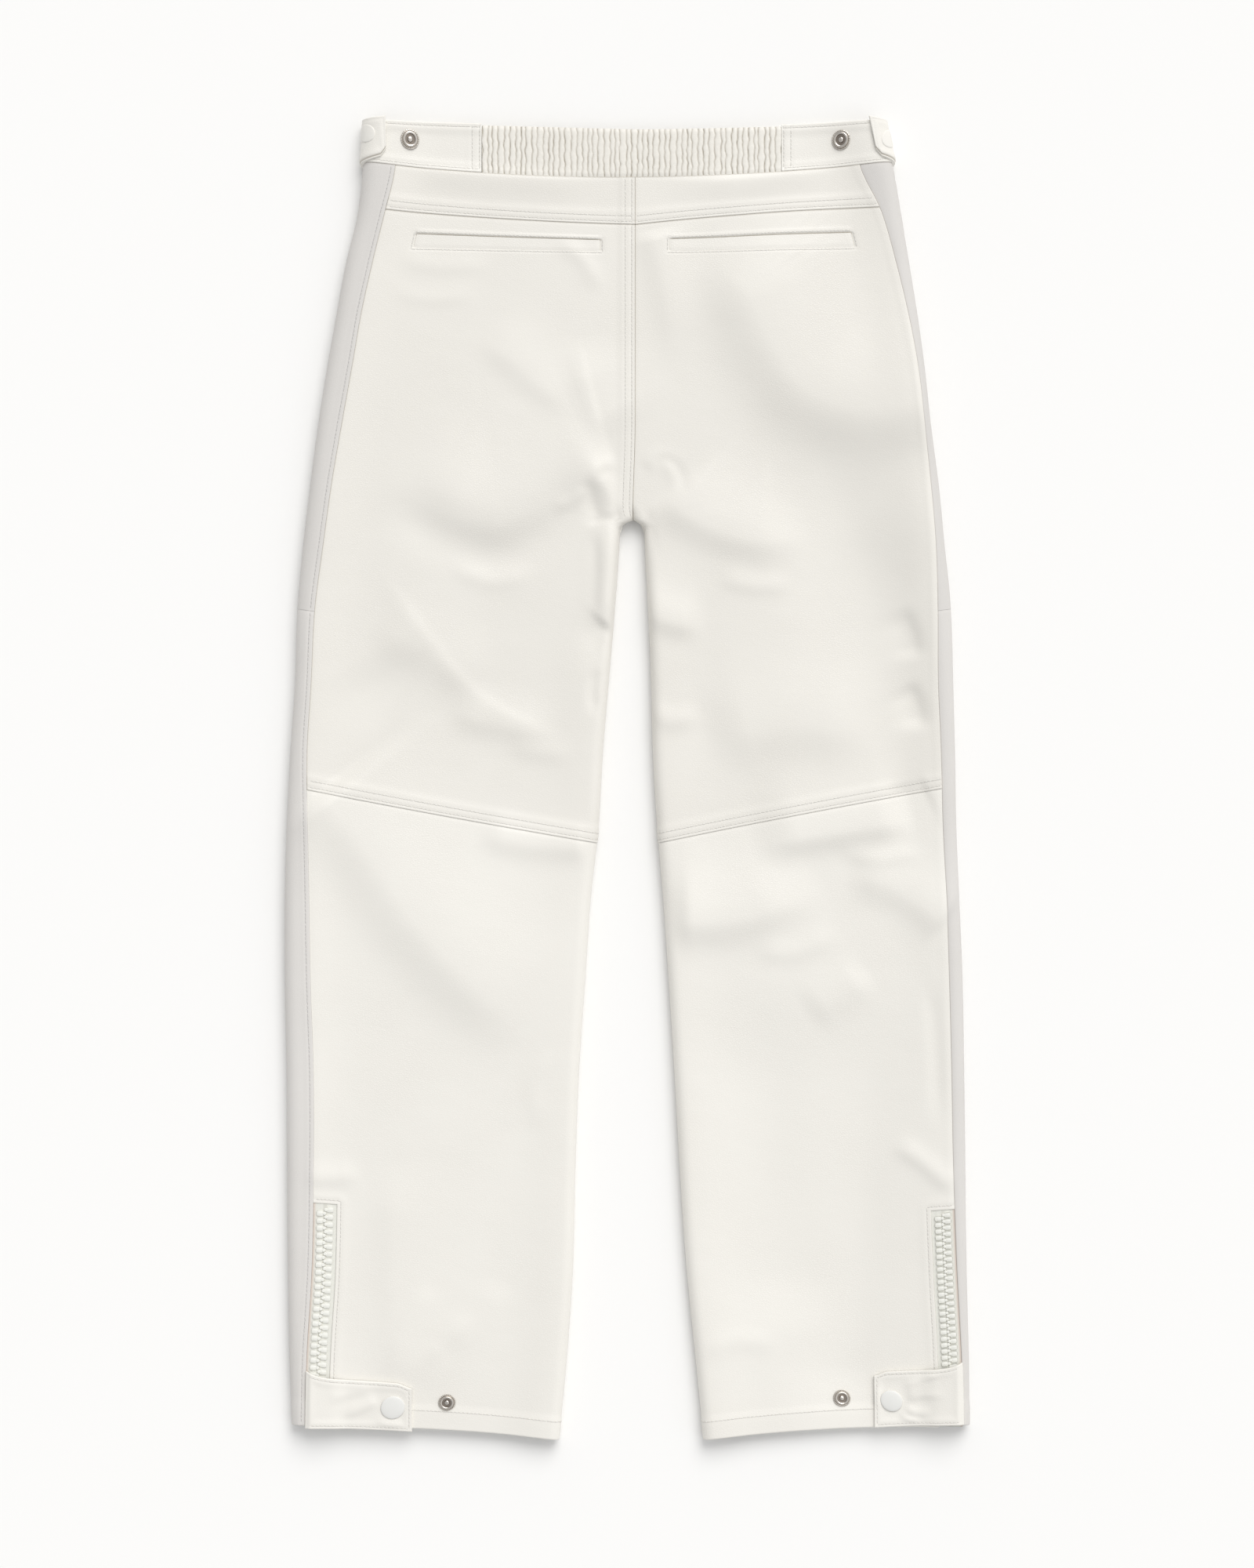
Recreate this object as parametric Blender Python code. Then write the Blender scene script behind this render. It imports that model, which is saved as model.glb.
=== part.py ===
"""Leather biker pants laid out flat, back side up.

The tables are in millimetres and the meshes in metres. X runs to the right as the garment is seen from
above, Y to the waist and Z up, and the origin lies on the surface under the middle of the garment.

Each leg is a flattened tube of cloth. One ring of the tube starts at the inner edge of the back, runs over
the top to the side, rolls round it and comes back underneath, flat on the surface. Above the crotch the
ring is open, and its two ends are the centre seams of the back and the front. A panel is a stretch of rows
and columns of this skin, and what is sewn on a panel is made from the panel's own skin, moved out.
"""
from collections import namedtuple
from functools import lru_cache
import math

import bmesh
import bpy
import numpy as np

MM = 0.001

# Driving sizes, in millimetres. A drop is measured down from the top of the waistband.
LENGTH = 1081.9
CROTCH = 331.5
WAIST_TOP = 4.0
WAIST_SEAM = 38.0
YOKE_SEAM = 75.0
STRIPE_JOIN = 402.5
KNEE_SEAM = 547.0
ZIP_TOP = 885.0
HEM = 1070.5
FLY_END = 210.0

SEAM_GAP = 0.3
LAY_GAP = 0.4
LEATHER = 1.3
STRIPE_WALL = 1.2
BAND_WALL = 2.4
TAB_WALL = 2.6
TAPE_WALL = 1.0

CENTRE_SEAM_X = 6.5
CROTCH_X = 4.5
CROTCH_ROUNDING = 7.0
CROTCH_CLOSING = 15.0
INNER_ROLL_RADIUS = 8.0
INNER_ROLL_HEIGHT = 15.0
SAG_REACH = 26.0
INSEAM_WRAP = 19.0
INSEAM_WRAP_REACH = 90.0

ELASTIC_LEFT = -118.5
ELASTIC_RIGHT = 126.0
RUFFLE_COUNT = 58
RUFFLE_HEIGHT = 0.7
FRONT_BAND_REACH = 62.0
FRONT_WAIST_DIP = 10.0
FLY_WIDTH = 38.0
ZIP_WIDTH = 19.3
TAPE_VISIBLE = 3.9
CHAIN_RISE = 1.5
CHAIN_EDGE = 0.6
ZIP_RECESS = 0.9

SIDES = {"left": -1, "right": 1}

# Outline of each leg: how far the side edge, the stripe seam and the inner edge stand from the middle.
# Above the crotch the inner edge is the centre seam.
Outline = namedtuple("Outline", "drop outer stripe inner")
OUTLINES = {
    "left": [
        Outline(4, 213, 187, 0),
        Outline(40, 215.5, 189, 0),
        Outline(80, 220, 198, 0),
        Outline(120, 229.5, 207.5, 0),
        Outline(160, 237, 216.5, 0),
        Outline(200, 244, 223.5, 0),
        Outline(250, 252, 232.5, 0),
        Outline(300, 258.5, 241, 4),
        Outline(350, 264.5, 248, 6),
        Outline(400, 269, 254.5, 9.5),
        Outline(460, 271, 257.5, 14.5),
        Outline(520, 275, 261, 19.5),
        Outline(580, 278, 260, 23),
        Outline(640, 279.5, 259, 29.5),
        Outline(700, 279.5, 258, 33.5),
        Outline(780, 278, 255.5, 39),
        Outline(860, 277.5, 255.5, 42),
        Outline(940, 277, 257, 44),
        Outline(1020, 275.5, 261.5, 49.5),
        Outline(1085, 272.5, 262.5, 56),
    ],
    "right": [
        Outline(4, 209, 184, 0),
        Outline(40, 217, 190, 0),
        Outline(80, 224, 207.5, 0),
        Outline(120, 230.5, 219, 0),
        Outline(160, 237, 228.5, 0),
        Outline(200, 242.5, 236, 0),
        Outline(250, 248, 242, 0),
        Outline(300, 254.5, 247.5, 12),
        Outline(350, 259.5, 251.5, 14.5),
        Outline(400, 264.5, 253, 17),
        Outline(460, 266.5, 253.5, 19.5),
        Outline(520, 268, 256, 21),
        Outline(580, 269, 257.5, 24.5),
        Outline(640, 271.5, 260.5, 29.5),
        Outline(700, 274, 262.5, 33.5),
        Outline(780, 275.5, 264.5, 38.5),
        Outline(860, 276.5, 266, 43),
        Outline(940, 277.5, 269, 48.5),
        Outline(1020, 279.5, 273, 56.5),
        Outline(1085, 279.8, 274, 63),
    ],
}

# How a cross seam or mesh row runs: it starts at the drop on the side edge, its inner end lies lower by
# the tilt, and its middle lies lower than a straight line by the bow of that leg.
Row = namedtuple("Row", "drop tilt bow_left bow_right")
ROWS = [
    Row(4, 5.6, 0, 1),
    Row(38, 12, 3.5, 2.5),
    Row(75, 14, 2, -2.5),
    Row(95, 7.5, 0.5, -0.5),
    Row(107, 4.5, 0, 0),
    Row(165, 13, 0, 0),
    Row(302, 29.5, 0, 0),
    Row(547, 46.5, 1, -1),
    Row(800, 28, 0, 0),
    Row(1000, 14, -2.5, -2.5),
    Row(1071, 10, -4, -4),
]

# Heights of the tube as it lies: the middle of the back, the top of the side roll and the roll's radius.
Height = namedtuple("Height", "drop middle roll radius")
HEIGHTS = [
    Height(4, 13, 19, 12),
    Height(40, 13, 19, 12),
    Height(90, 14, 18, 11),
    Height(200, 15, 18, 10),
    Height(320, 14.5, 18, 10),
    Height(450, 12.5, 17, 10),
    Height(560, 13, 17, 10),
    Height(700, 13, 16.5, 9.5),
    Height(900, 12, 15.5, 9),
    Height(1085, 11, 14.5, 8.5),
]

# Developed width of the side stripe, from its back seam round the side to its front seam.
StripeWidth = namedtuple("StripeWidth", "drop width")
STRIPE_WIDTHS = [StripeWidth(38, 62), StripeWidth(400, 54), StripeWidth(700, 54), StripeWidth(1085, 44)]

# The largest folds of the back, each along a line from start to end: x, drop, x, drop, the reach to each
# side and the rise. A negative rise is a trough.
Fold = namedtuple("Fold", "x0 drop0 x1 drop1 reach rise")
FOLDS = [
    # left seat and crotch
    Fold(-30, 190, -12, 262, 9, -1.5),
    Fold(-92, 224, -16, 268, 12, -1.8),
    Fold(-14, 284, -34, 304, 10, -2.6),
    Fold(-34, 304, -107, 345, 14, -3.4),
    Fold(-107, 345, -154, 326, 14, -3.0),
    Fold(-154, 326, -198, 288, 15, -2.0),
    Fold(-60, 346, -120, 376, 16, 2.2),
    # left thigh
    Fold(-200, 373, -97, 486, 20, 2.0),
    Fold(-176, 515, -92, 508, 16, -1.6),
    # left calf
    Fold(-250, 561, -218, 608, 11, -3.2),
    Fold(-218, 608, -173, 665, 17, -3.6),
    Fold(-173, 665, -124, 718, 18, -3.0),
    Fold(-124, 718, -82, 762, 18, -2.0),
    Fold(-214, 566, -143, 640, 16, 2.2),
    Fold(-143, 640, -82, 712, 18, 2.0),
    Fold(-106, 600, -50, 598, 11, -2.0),
    # right seat and crotch
    Fold(90, 125, 128, 200, 18, -2.6),
    Fold(128, 200, 176, 252, 20, -3.2),
    Fold(176, 252, 226, 254, 18, -2.4),
    Fold(60, 180, 84, 262, 22, 1.6),
    Fold(18, 292, 36, 287, 8, 1.8),
    Fold(36, 287, 45, 318, 9, 1.8),
    Fold(38, 342, 82, 341, 10, -2.8),
    Fold(82, 341, 140, 354, 12, -2.2),
    Fold(56, 298, 148, 330, 18, 2.0),
    # right thigh
    Fold(36, 430, 60, 421, 8, -1.6),
    Fold(74, 516, 204, 500, 16, -2.4),
    Fold(70, 486, 190, 474, 16, 1.6),
    # right calf
    Fold(104, 602, 161, 594, 10, -2.6),
    Fold(161, 594, 228, 588, 10, -2.2),
    Fold(47, 662, 104, 658, 13, -2.6),
    Fold(104, 658, 156, 640, 13, -2.2),
    Fold(188, 650, 244, 704, 12, -1.8),
    Fold(199, 856, 198, 1010, 14, -1.6),
]

# Mesh rows down each stretch, as drops on the side edge.
YOKE_ROWS = [50.0, 62.0]
WELT_ROWS = [95.0, 106.5]
THIGH_ROWS = [*WELT_ROWS, 126.0, 150.0, 178.0, FLY_END, 232.0, 252.0, 271.0]
CROTCH_ROWS_INSIDE = [316.5, 323.0, 328.0, CROTCH, 332.5, 334.5, 338.5, 347.0]
LOWER_THIGH_ROWS = [335.0, 356.0, 380.0, 420.0, 450.0, 484.0, 515.0]
CALF_ROWS = [566.0, 586.0, 607.0, 630.0, 655.0, 682.0, 712.0, 748.0, 795.0, 840.0]
ZIP_ROWS = [925.0, 970.0, 1015.0, 1045.0]

# Mesh columns of a back panel: steps from its inner edge, then shares of the rest.
NEAR_COLUMNS = [0.0, 7.0, 14.0, 21.0, 28.5]
THIGH_SHARES = [0.14, 0.28, 0.42, 0.56, 0.70, 0.848, 0.93, 1.0]
CALF_SHARES = [0.15, 0.32, 0.49, 0.66, 0.84]
STRIPE_SHARES = [0.0, 0.25, 0.44, 0.63, 0.82, 1.0]
FRONT_SHARES = [0.0, 1.0]
FRONT_NEAR_END = [20.0, 13.0, 7.0, 0.0]
# Columns of the waistband and its tab, as steps from the outermost point of the side roll.
ROLL_STEPS = [-22.0, -14.0, -7.0, 0.0, 7.0, 14.0, 22.0]
TAB_STEPS = ROLL_STEPS[1:5]
# Equal steps across the top of the band, the front band and an ankle tab.
BAND_TOP_STEPS = 5
FRONT_BAND_STEPS = 3
ANKLE_TAB_STEPS = 5
ANKLE_TAB_ROW_STEPS = 3
# Columns of the thigh panel that the pocket welt covers.
WELT_COLUMNS = slice(4, 11)

# Hard pieces on the cloth: x, drop, and radius of each.
Fitting = namedtuple("Fitting", "name side x drop radius")
CAPS = [
    Fitting("waist_snap_cap_left", "left", -211.0, 15.5, 7.4),
    Fitting("waist_snap_cap_right", "right", 210.0, 18.0, 7.4),
    Fitting("ankle_snap_cap_left", "left", -191.0, 1053.5, 9.8),
    Fitting("ankle_snap_cap_right", "right", 216.0, 1048.5, 9.4),
]
STUDS = [
    Fitting("waist_stud_left", "left", -177.0, 20.0, 7.6),
    Fitting("waist_stud_right", "right", 174.5, 20.5, 7.6),
    Fitting("ankle_stud_left", "left", -147.0, 1050.0, 7.3),
    Fitting("ankle_stud_right", "right", 175.5, 1047.0, 7.3),
]
# Half profiles of a cap and a stud, as shares of the radius and heights in millimetres.
ProfilePoint = namedtuple("ProfilePoint", "share height")
CAP_PROFILE = [
    ProfilePoint(0.5, 0),
    ProfilePoint(1.0, 0),
    ProfilePoint(1.0, 0.7),
    ProfilePoint(0.86, 1.6),
    ProfilePoint(0.45, 2.1),
]
STUD_PROFILE = [
    ProfilePoint(0.5, 0),
    ProfilePoint(1.0, 0),
    ProfilePoint(0.97, 0.6),
    ProfilePoint(0.72, 1.0),
    ProfilePoint(0.70, 2.6),
    ProfilePoint(0.55, 2.6),
    ProfilePoint(0.50, 0.9),
]
DISC_SIDES = 18

# Top and bottom edges of the tabs, each as its drops at the free end and at the far end.
WAIST_TAB_ROWS = {"left": [(1.0, 5.0), (31.0, 41.0)], "right": [(1.0, 7.0), (32.0, 42.5)]}
WAIST_TAB_START = {"left": 196.5, "right": 198.0}
ANKLE_TAB_ROWS = {"left": [(1036.0, 1023.5), (1073.0, 1070.5)], "right": [(1027.0, 1016.5), (1070.5, 1067.5)]}
ANKLE_TAB_START = {"left": 175.5, "right": 202.0}
# Width, length and thickness of a slider's top plate.
SLIDER_SIZE = (9.5, 12.0, 1.1)
SLIDER_DROP = 1050.0
SLIDER_ROOM = 2.2

ARCH_STEPS = 14
TOP_STEPS = 120
FLAT_STEPS = 60
STEP = 0.5


def curve(table, at, column):
    """Smooth curve through one column of a table, read at a drop."""
    drops = np.array([row.drop for row in table], float)
    values = np.array([getattr(row, column) for row in table], float)
    slopes = np.gradient(values, drops)
    i = int(np.clip(np.searchsorted(drops, at) - 1, 0, len(drops) - 2))
    span = drops[i + 1] - drops[i]
    t = min(max((at - drops[i]) / span, 0.0), 1.0)
    start = (1 + 2 * t) * (1 - t) ** 2 * values[i] + t * (1 - t) ** 2 * span * slopes[i]
    end = t * t * (3 - 2 * t) * values[i + 1] + t * t * (t - 1) * span * slopes[i + 1]
    return start + end


def ease(t):
    """Smooth step from 0 to 1."""
    t = np.clip(t, 0.0, 1.0)
    return t * t * (3 - 2 * t)


def inner_edge(side, drop):
    """Signed x of a leg's inner edge: the centre seam, the round of the crotch, then the inner leg."""
    sign = SIDES[side]
    centre = CENTRE_SEAM_X + (CROTCH_X - CENTRE_SEAM_X) * ease((drop - 250) / (CROTCH - 250))
    if drop > CROTCH:
        below = max(drop, CROTCH + CROTCH_ROUNDING)
        leg = sign * curve(OUTLINES[side], below, "inner")
        u = min((drop - CROTCH) / CROTCH_ROUNDING, 1.0)
        centre += (leg - centre) * math.sqrt(1 - (1 - u) ** 2)
    return centre + sign * SEAM_GAP / 2


def fold_rise(x, drop):
    """Height that the folds add at points of the back."""
    rise = np.zeros_like(x)
    for fold in FOLDS:
        run_x = fold.x1 - fold.x0
        run_drop = fold.drop1 - fold.drop0
        length = math.hypot(run_x, run_drop)
        along = ((x - fold.x0) * run_x + (drop - fold.drop0) * run_drop) / length
        beside = ((x - fold.x0) * run_drop - (drop - fold.drop0) * run_x) / length
        past = np.maximum(np.maximum(-along, along - length), 0.0)
        rise += fold.rise * np.exp(-(beside ** 2 + past ** 2) / fold.reach ** 2)
    return rise


Ring = namedtuple("Ring", "arc points stripe outer_top side length wrap")


@lru_cache(maxsize=None)
def ring(side, row):
    """One ring of a leg: points from the back inner edge over the top and round underneath."""
    sign = SIDES[side]
    tilt = curve(ROWS, row, "tilt")
    bow = curve(ROWS, row, "bow_" + side)
    drop_in = row + tilt
    inner = sign * inner_edge(side, drop_in)
    outer = curve(OUTLINES[side], row, "outer")
    middle = curve(HEIGHTS, row, "middle")
    roll = curve(HEIGHTS, row, "roll")
    radius = curve(HEIGHTS, row, "radius")
    closed = ease((drop_in - CROTCH + 70) / 70)
    closing = np.clip((drop_in - CROTCH + CROTCH_CLOSING) / CROTCH_CLOSING, 0.01, 1.0)
    start = math.radians(90 * (1 - closing))
    inner_top = inner + INNER_ROLL_RADIUS * math.cos(start)
    outer_top = outer - radius

    def level(x):
        beyond_inner = np.maximum(x - inner_top, 0) / SAG_REACH
        beyond_outer = np.maximum(outer_top - x, 0) / SAG_REACH
        inner_bump = (INNER_ROLL_HEIGHT - middle) * closed * np.exp(-beyond_inner ** 2)
        return middle + inner_bump + (roll - middle) * np.exp(-beyond_outer ** 2)

    rise = np.linspace(start, math.pi / 2, ARCH_STEPS)[:-1]
    x_rise = inner + INNER_ROLL_RADIUS * (math.cos(start) - np.cos(rise))
    x_top = np.linspace(inner_top, outer_top, TOP_STEPS)
    turn = np.linspace(math.pi / 2, -math.pi / 2, 2 * ARCH_STEPS)[1:]
    x_turn = outer_top + radius * np.cos(turn)
    x_flat = np.linspace(outer_top, inner_top, FLAT_STEPS)[1:]
    fall = np.linspace(-math.pi / 2, -start, ARCH_STEPS)[1:]
    x_fall = inner + INNER_ROLL_RADIUS * (math.cos(start) - np.cos(fall))

    x = np.concatenate([x_rise, x_top, x_turn, x_flat, x_fall])
    share = (x - inner) / (outer - inner)
    drop = row + tilt * (1 - share)
    on_top = slice(0, len(x_rise) + len(x_top) + ARCH_STEPS)
    drop[on_top] += bow * 4 * share[on_top] * (1 - share[on_top])
    folds = fold_rise(sign * x, drop)
    half_in = INNER_ROLL_HEIGHT / 2
    half_out = roll / 2
    top = level(x) + folds
    first = len(x_rise)
    last = first + len(x_top)
    z = np.zeros_like(x)
    z[:first] = half_in + (top[:first] - half_in) * np.sin(rise)
    z[first:last] = top[first:last]
    upper = np.maximum(np.sin(turn), 0) * (top[last:last + len(turn)] - half_out)
    z[last:last + len(turn)] = half_out + upper + np.minimum(np.sin(turn), 0) * half_out
    z[len(x) - len(fall):] = half_in * (1 + np.sin(fall))

    points = np.column_stack([sign * x, LENGTH / 2 - drop, z])
    steps = np.linalg.norm(np.diff(points, axis=0), axis=1)
    arc = np.concatenate([[0.0], np.cumsum(steps)])
    to_side = last + ARCH_STEPS
    stripe = np.interp(curve(OUTLINES[side], row, "stripe"), x[:to_side], arc[:to_side])
    wrap = INSEAM_WRAP * ease((drop_in - CROTCH) / INSEAM_WRAP_REACH)
    length = arc[-1]
    if drop_in > CROTCH:
        arc = np.concatenate([arc[:-1] - length, arc])
        points = np.concatenate([points[:-1], points])
    return Ring(arc, points, stripe, x[:to_side], (len(points) - len(x), to_side), length, wrap)


def arc_at(side, row, x):
    """Arc position on the top of a ring where it stands x from the middle."""
    found = ring(side, row)
    first, count = found.side
    return float(np.interp(x, found.outer_top, found.arc[first:first + count]))


def ring_points(side, row, arcs):
    found = ring(side, row)
    return np.column_stack([np.interp(arcs, found.arc, found.points[:, k]) for k in range(3)])


def skin(side, rows, columns, steps):
    """Grid of points and outward normals. Each row is the drop at its first and at its last column."""
    shares = np.linspace(0, 1, steps)
    points = np.zeros((len(rows), steps, 3))
    normals = np.zeros_like(points)

    def at(row, j, shift):
        arc = columns(side, row)[j] + shift
        return ring_points(side, row, [arc])[0]

    for i, (row_start, row_end) in enumerate(rows):
        for j in range(steps):
            row = row_start + (row_end - row_start) * shares[j]
            points[i, j] = at(row, j, 0.0)
            along = at(row + STEP, j, 0.0) - at(row - STEP, j, 0.0)
            across = at(row, j, STEP) - at(row, j, -STEP)
            normal = SIDES[side] * np.cross(along, across)
            normals[i, j] = normal / np.linalg.norm(normal)
    return points, normals


def level_rows(rows):
    return [(row, row) for row in rows]


def back_columns(shares, cut=0.0):
    """Columns from the inseam or centre seam to the stripe seam, or to a cut beside it."""
    def columns(side, row):
        found = ring(side, row)
        start = SEAM_GAP / 2 - found.wrap
        rest = found.stripe - SEAM_GAP / 2 - cut - start - NEAR_COLUMNS[-1]
        near = [start + step for step in NEAR_COLUMNS]
        return near + [near[-1] + rest * share for share in shares]
    return columns


def calf_columns(side, row):
    """Back columns that end with the two edges of the ankle zip's opening."""
    zip_cut = ZIP_WIDTH + SEAM_GAP / 2
    end = ring(side, row).stripe - SEAM_GAP / 2
    return back_columns([*CALF_SHARES, 1.0], cut=zip_cut)(side, row) + [end - ZIP_WIDTH / 2, end]


def stripe_columns(side, row):
    found = ring(side, row)
    width = curve(STRIPE_WIDTHS, row, "width") - SEAM_GAP
    return [found.stripe + SEAM_GAP / 2 + width * share for share in STRIPE_SHARES]


def front_columns(side, row):
    found = ring(side, row)
    start = found.stripe + curve(STRIPE_WIDTHS, row, "width") + SEAM_GAP / 2
    end = found.length - found.wrap - SEAM_GAP / 2
    rest = end - FLY_WIDTH - start
    body = [start + rest * share for share in FRONT_SHARES]
    return body + [end - step for step in FRONT_NEAR_END]


def zip_columns(side, row):
    """Tape, edge of the chain, chain, edge, tape."""
    end = ring(side, row).stripe - SEAM_GAP / 2
    start = end - ZIP_WIDTH + SEAM_GAP
    chain = TAPE_VISIBLE + CHAIN_EDGE
    return [start, start + TAPE_VISIBLE, start + chain, end - SEAM_GAP - chain,
            end - SEAM_GAP - TAPE_VISIBLE, end - SEAM_GAP]


def ankle_tab_columns(side, row):
    """From the tab's free end, over the zip, to the stripe seam."""
    free = arc_at(side, row, ANKLE_TAB_START[side])
    end = ring(side, row).stripe - SEAM_GAP / 2
    zip_edge = end - ZIP_WIDTH
    body = [float(arc) for arc in np.linspace(free, zip_edge, ANKLE_TAB_STEPS + 1)]
    return body + [zip_edge + TAPE_VISIBLE, end - TAPE_VISIBLE, end]


def side_middle(side, row):
    """Arc position of the outermost point of a ring."""
    return arc_at(side, row, curve(OUTLINES[side], row, "outer"))


def waist_tab_columns(side, row):
    """From the tab's free end round the side to the lower part of the roll, on the band's own columns."""
    return [arc_at(side, row, WAIST_TAB_START[side]), *[side_middle(side, row) + step for step in TAB_STEPS]]


def side_band_columns(side, row):
    """From the elastic round the side to the front waistband."""
    edge = {"left": -ELASTIC_LEFT, "right": ELASTIC_RIGHT}[side]
    start = arc_at(side, row, edge + SEAM_GAP / 2)
    middle = side_middle(side, row)
    top = np.linspace(start, middle + ROLL_STEPS[0], BAND_TOP_STEPS + 1)[:-1]
    return [*top, *[middle + step for step in [*ROLL_STEPS, FRONT_BAND_REACH]]]


def front_band_columns(side, row):
    found = ring(side, row)
    start = side_middle(side, row) + FRONT_BAND_REACH + SEAM_GAP
    return list(np.linspace(start, found.length, FRONT_BAND_STEPS + 1))


def material(name, colour, roughness, metallic=0.0):
    found = bpy.data.materials.get(name)
    if found is None:
        found = bpy.data.materials.new(name)
        found.use_nodes = True
        shader = found.node_tree.nodes["Principled BSDF"]
        shader.inputs["Base Color"].default_value = (*colour, 1.0)
        shader.inputs["Roughness"].default_value = roughness
        shader.inputs["Metallic"].default_value = metallic
    return found


def leather():
    return material("off_white_leather", (0.87, 0.855, 0.81), 0.5)


def stripe_leather():
    return material("light_grey_leather", (0.72, 0.71, 0.70), 0.7)


def elastic_leather():
    return material("shirred_leather", (0.87, 0.855, 0.81), 0.55)


def zip_plastic():
    return material("zip_plastic", (0.84, 0.84, 0.82), 0.35)


def cap_plastic():
    return material("cap_plastic", (0.86, 0.86, 0.84), 0.35)


def stud_steel():
    return material("stud_steel", (0.66, 0.64, 0.61), 0.3, 1.0)


def wall(name, points, normals, thickness, finish, cut=None):
    """Closed cloth wall: the grid of outer points, the same points moved in, and the rim between."""
    rows, columns = points.shape[:2]
    cells = [(i, j) for i in range(rows - 1) for j in range(columns - 1) if not (cut and cut(i, j))]
    used = sorted({(i + a, j + b) for i, j in cells for a in (0, 1) for b in (0, 1)})
    bm = bmesh.new()
    outside = {key: bm.verts.new(points[key] * MM) for key in used}
    inside = {key: bm.verts.new((points[key] - normals[key] * thickness) * MM) for key in used}
    rim = {}
    for i, j in cells:
        corners = [(i, j), (i, j + 1), (i + 1, j + 1), (i + 1, j)]
        bm.faces.new([outside[key] for key in corners])
        bm.faces.new([inside[key] for key in reversed(corners)])
        for edge in zip(corners, corners[1:] + corners[:1]):
            if edge[::-1] in rim:
                del rim[edge[::-1]]
            else:
                rim[edge] = True
    for start, end in rim:
        bm.faces.new([outside[end], outside[start], inside[start], inside[end]])
    return finish_mesh(name, bm, finish)


def finish_mesh(name, bm, finish):
    bmesh.ops.recalc_face_normals(bm, faces=bm.faces)
    mesh = bpy.data.meshes.new(name)
    bm.to_mesh(mesh)
    bm.free()
    mesh.materials.append(finish)
    piece = bpy.data.objects.new(name, mesh)
    GARMENT.objects.link(piece)
    return piece


def panel(name, side, rows, columns, thickness, finish, raised=0.0, cut=None):
    """Wall over a stretch of skin, its outer face raised from the skin."""
    steps = len(columns(side, rows[0][0]))
    points, normals = skin(side, rows, columns, steps)
    lift = np.broadcast_to(np.asarray(raised, float), (len(rows), steps))
    return wall(name, points + normals * lift[..., None], normals, thickness, finish, cut)


def rows_at_inner_drops(drops):
    """Row positions whose inner ends lie at the given drops."""
    rows = np.linspace(200, 420, 2201)
    inner = np.array([row + curve(ROWS, row, "tilt") for row in rows])
    return [float(row) for row in np.interp(drops, inner, rows)]


def between(start, rows, end):
    return [start + SEAM_GAP / 2, *rows, end - SEAM_GAP / 2]


def crotch_rows():
    return rows_at_inner_drops(CROTCH_ROWS_INSIDE)


def thigh_rows():
    return sorted([*THIGH_ROWS, *crotch_rows(), *LOWER_THIGH_ROWS])


def back_panels(side):
    thigh = between(YOKE_SEAM, thigh_rows(), KNEE_SEAM)
    calf = between(KNEE_SEAM, [*CALF_ROWS, ZIP_TOP, *ZIP_ROWS], HEM + SEAM_GAP / 2)
    yoke = between(WAIST_SEAM, YOKE_ROWS, YOKE_SEAM)
    over_zip = calf.index(ZIP_TOP)
    opening = len(NEAR_COLUMNS) + len(CALF_SHARES)
    thigh_columns = back_columns(THIGH_SHARES)
    panel("back_yoke_" + side, side, level_rows(yoke), thigh_columns, LEATHER, leather())
    panel("back_thigh_" + side, side, level_rows(thigh), thigh_columns, LEATHER, leather())
    panel("back_calf_" + side, side, level_rows(calf), calf_columns, LEATHER, leather(),
          cut=lambda i, j: i >= over_zip and j >= opening)


def stripe_panels(side):
    upper = [YOKE_SEAM, *thigh_rows()]
    above = [row for row in upper if row < STRIPE_JOIN - 5]
    below = [row for row in [*thigh_rows(), KNEE_SEAM, *CALF_ROWS, ZIP_TOP, *ZIP_ROWS] if row > STRIPE_JOIN + 5]
    grey = stripe_leather()
    panel("side_stripe_upper_" + side, side, level_rows(between(WAIST_SEAM, [*YOKE_ROWS, *above], STRIPE_JOIN)),
          stripe_columns, STRIPE_WALL, grey)
    panel("side_stripe_lower_" + side, side, level_rows(between(STRIPE_JOIN, below, HEM - 2)),
          stripe_columns, STRIPE_WALL, grey)


def front_panels(side):
    rows = between(WAIST_SEAM, [*YOKE_ROWS, YOKE_SEAM, *thigh_rows(), KNEE_SEAM, *CALF_ROWS, ZIP_TOP, *ZIP_ROWS], HEM)
    fly_row = rows.index(FLY_END)
    fly_column = len(FRONT_SHARES) - 1
    has_fly = side == "left"
    panel("front_leg_" + side, side, level_rows(rows), front_columns, LEATHER, leather(),
          cut=(lambda i, j: i < fly_row and j >= fly_column) if has_fly else None)
    if has_fly:
        def fly_columns(leg, row):
            found = front_columns(leg, row)
            return [found[fly_column] + SEAM_GAP, *found[fly_column + 1:]]
        panel("fly_flap", side, level_rows([*rows[:fly_row], FLY_END - SEAM_GAP]), fly_columns, LEATHER, leather())


def waistband(side):
    band = [WAIST_TOP, (WAIST_TOP + WAIST_SEAM) / 2, WAIST_SEAM - SEAM_GAP / 2]
    panel("side_waistband_" + side, side, level_rows(band), side_band_columns, BAND_WALL, leather())
    front = [(WAIST_TOP, WAIST_TOP + FRONT_WAIST_DIP), (band[-1], band[-1])]
    panel("front_waistband_" + side, side, front, front_band_columns, BAND_WALL, leather())
    panel("waist_tab_" + side, side, WAIST_TAB_ROWS[side], waist_tab_columns, TAB_WALL, leather(),
          raised=LAY_GAP + TAB_WALL)


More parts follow.
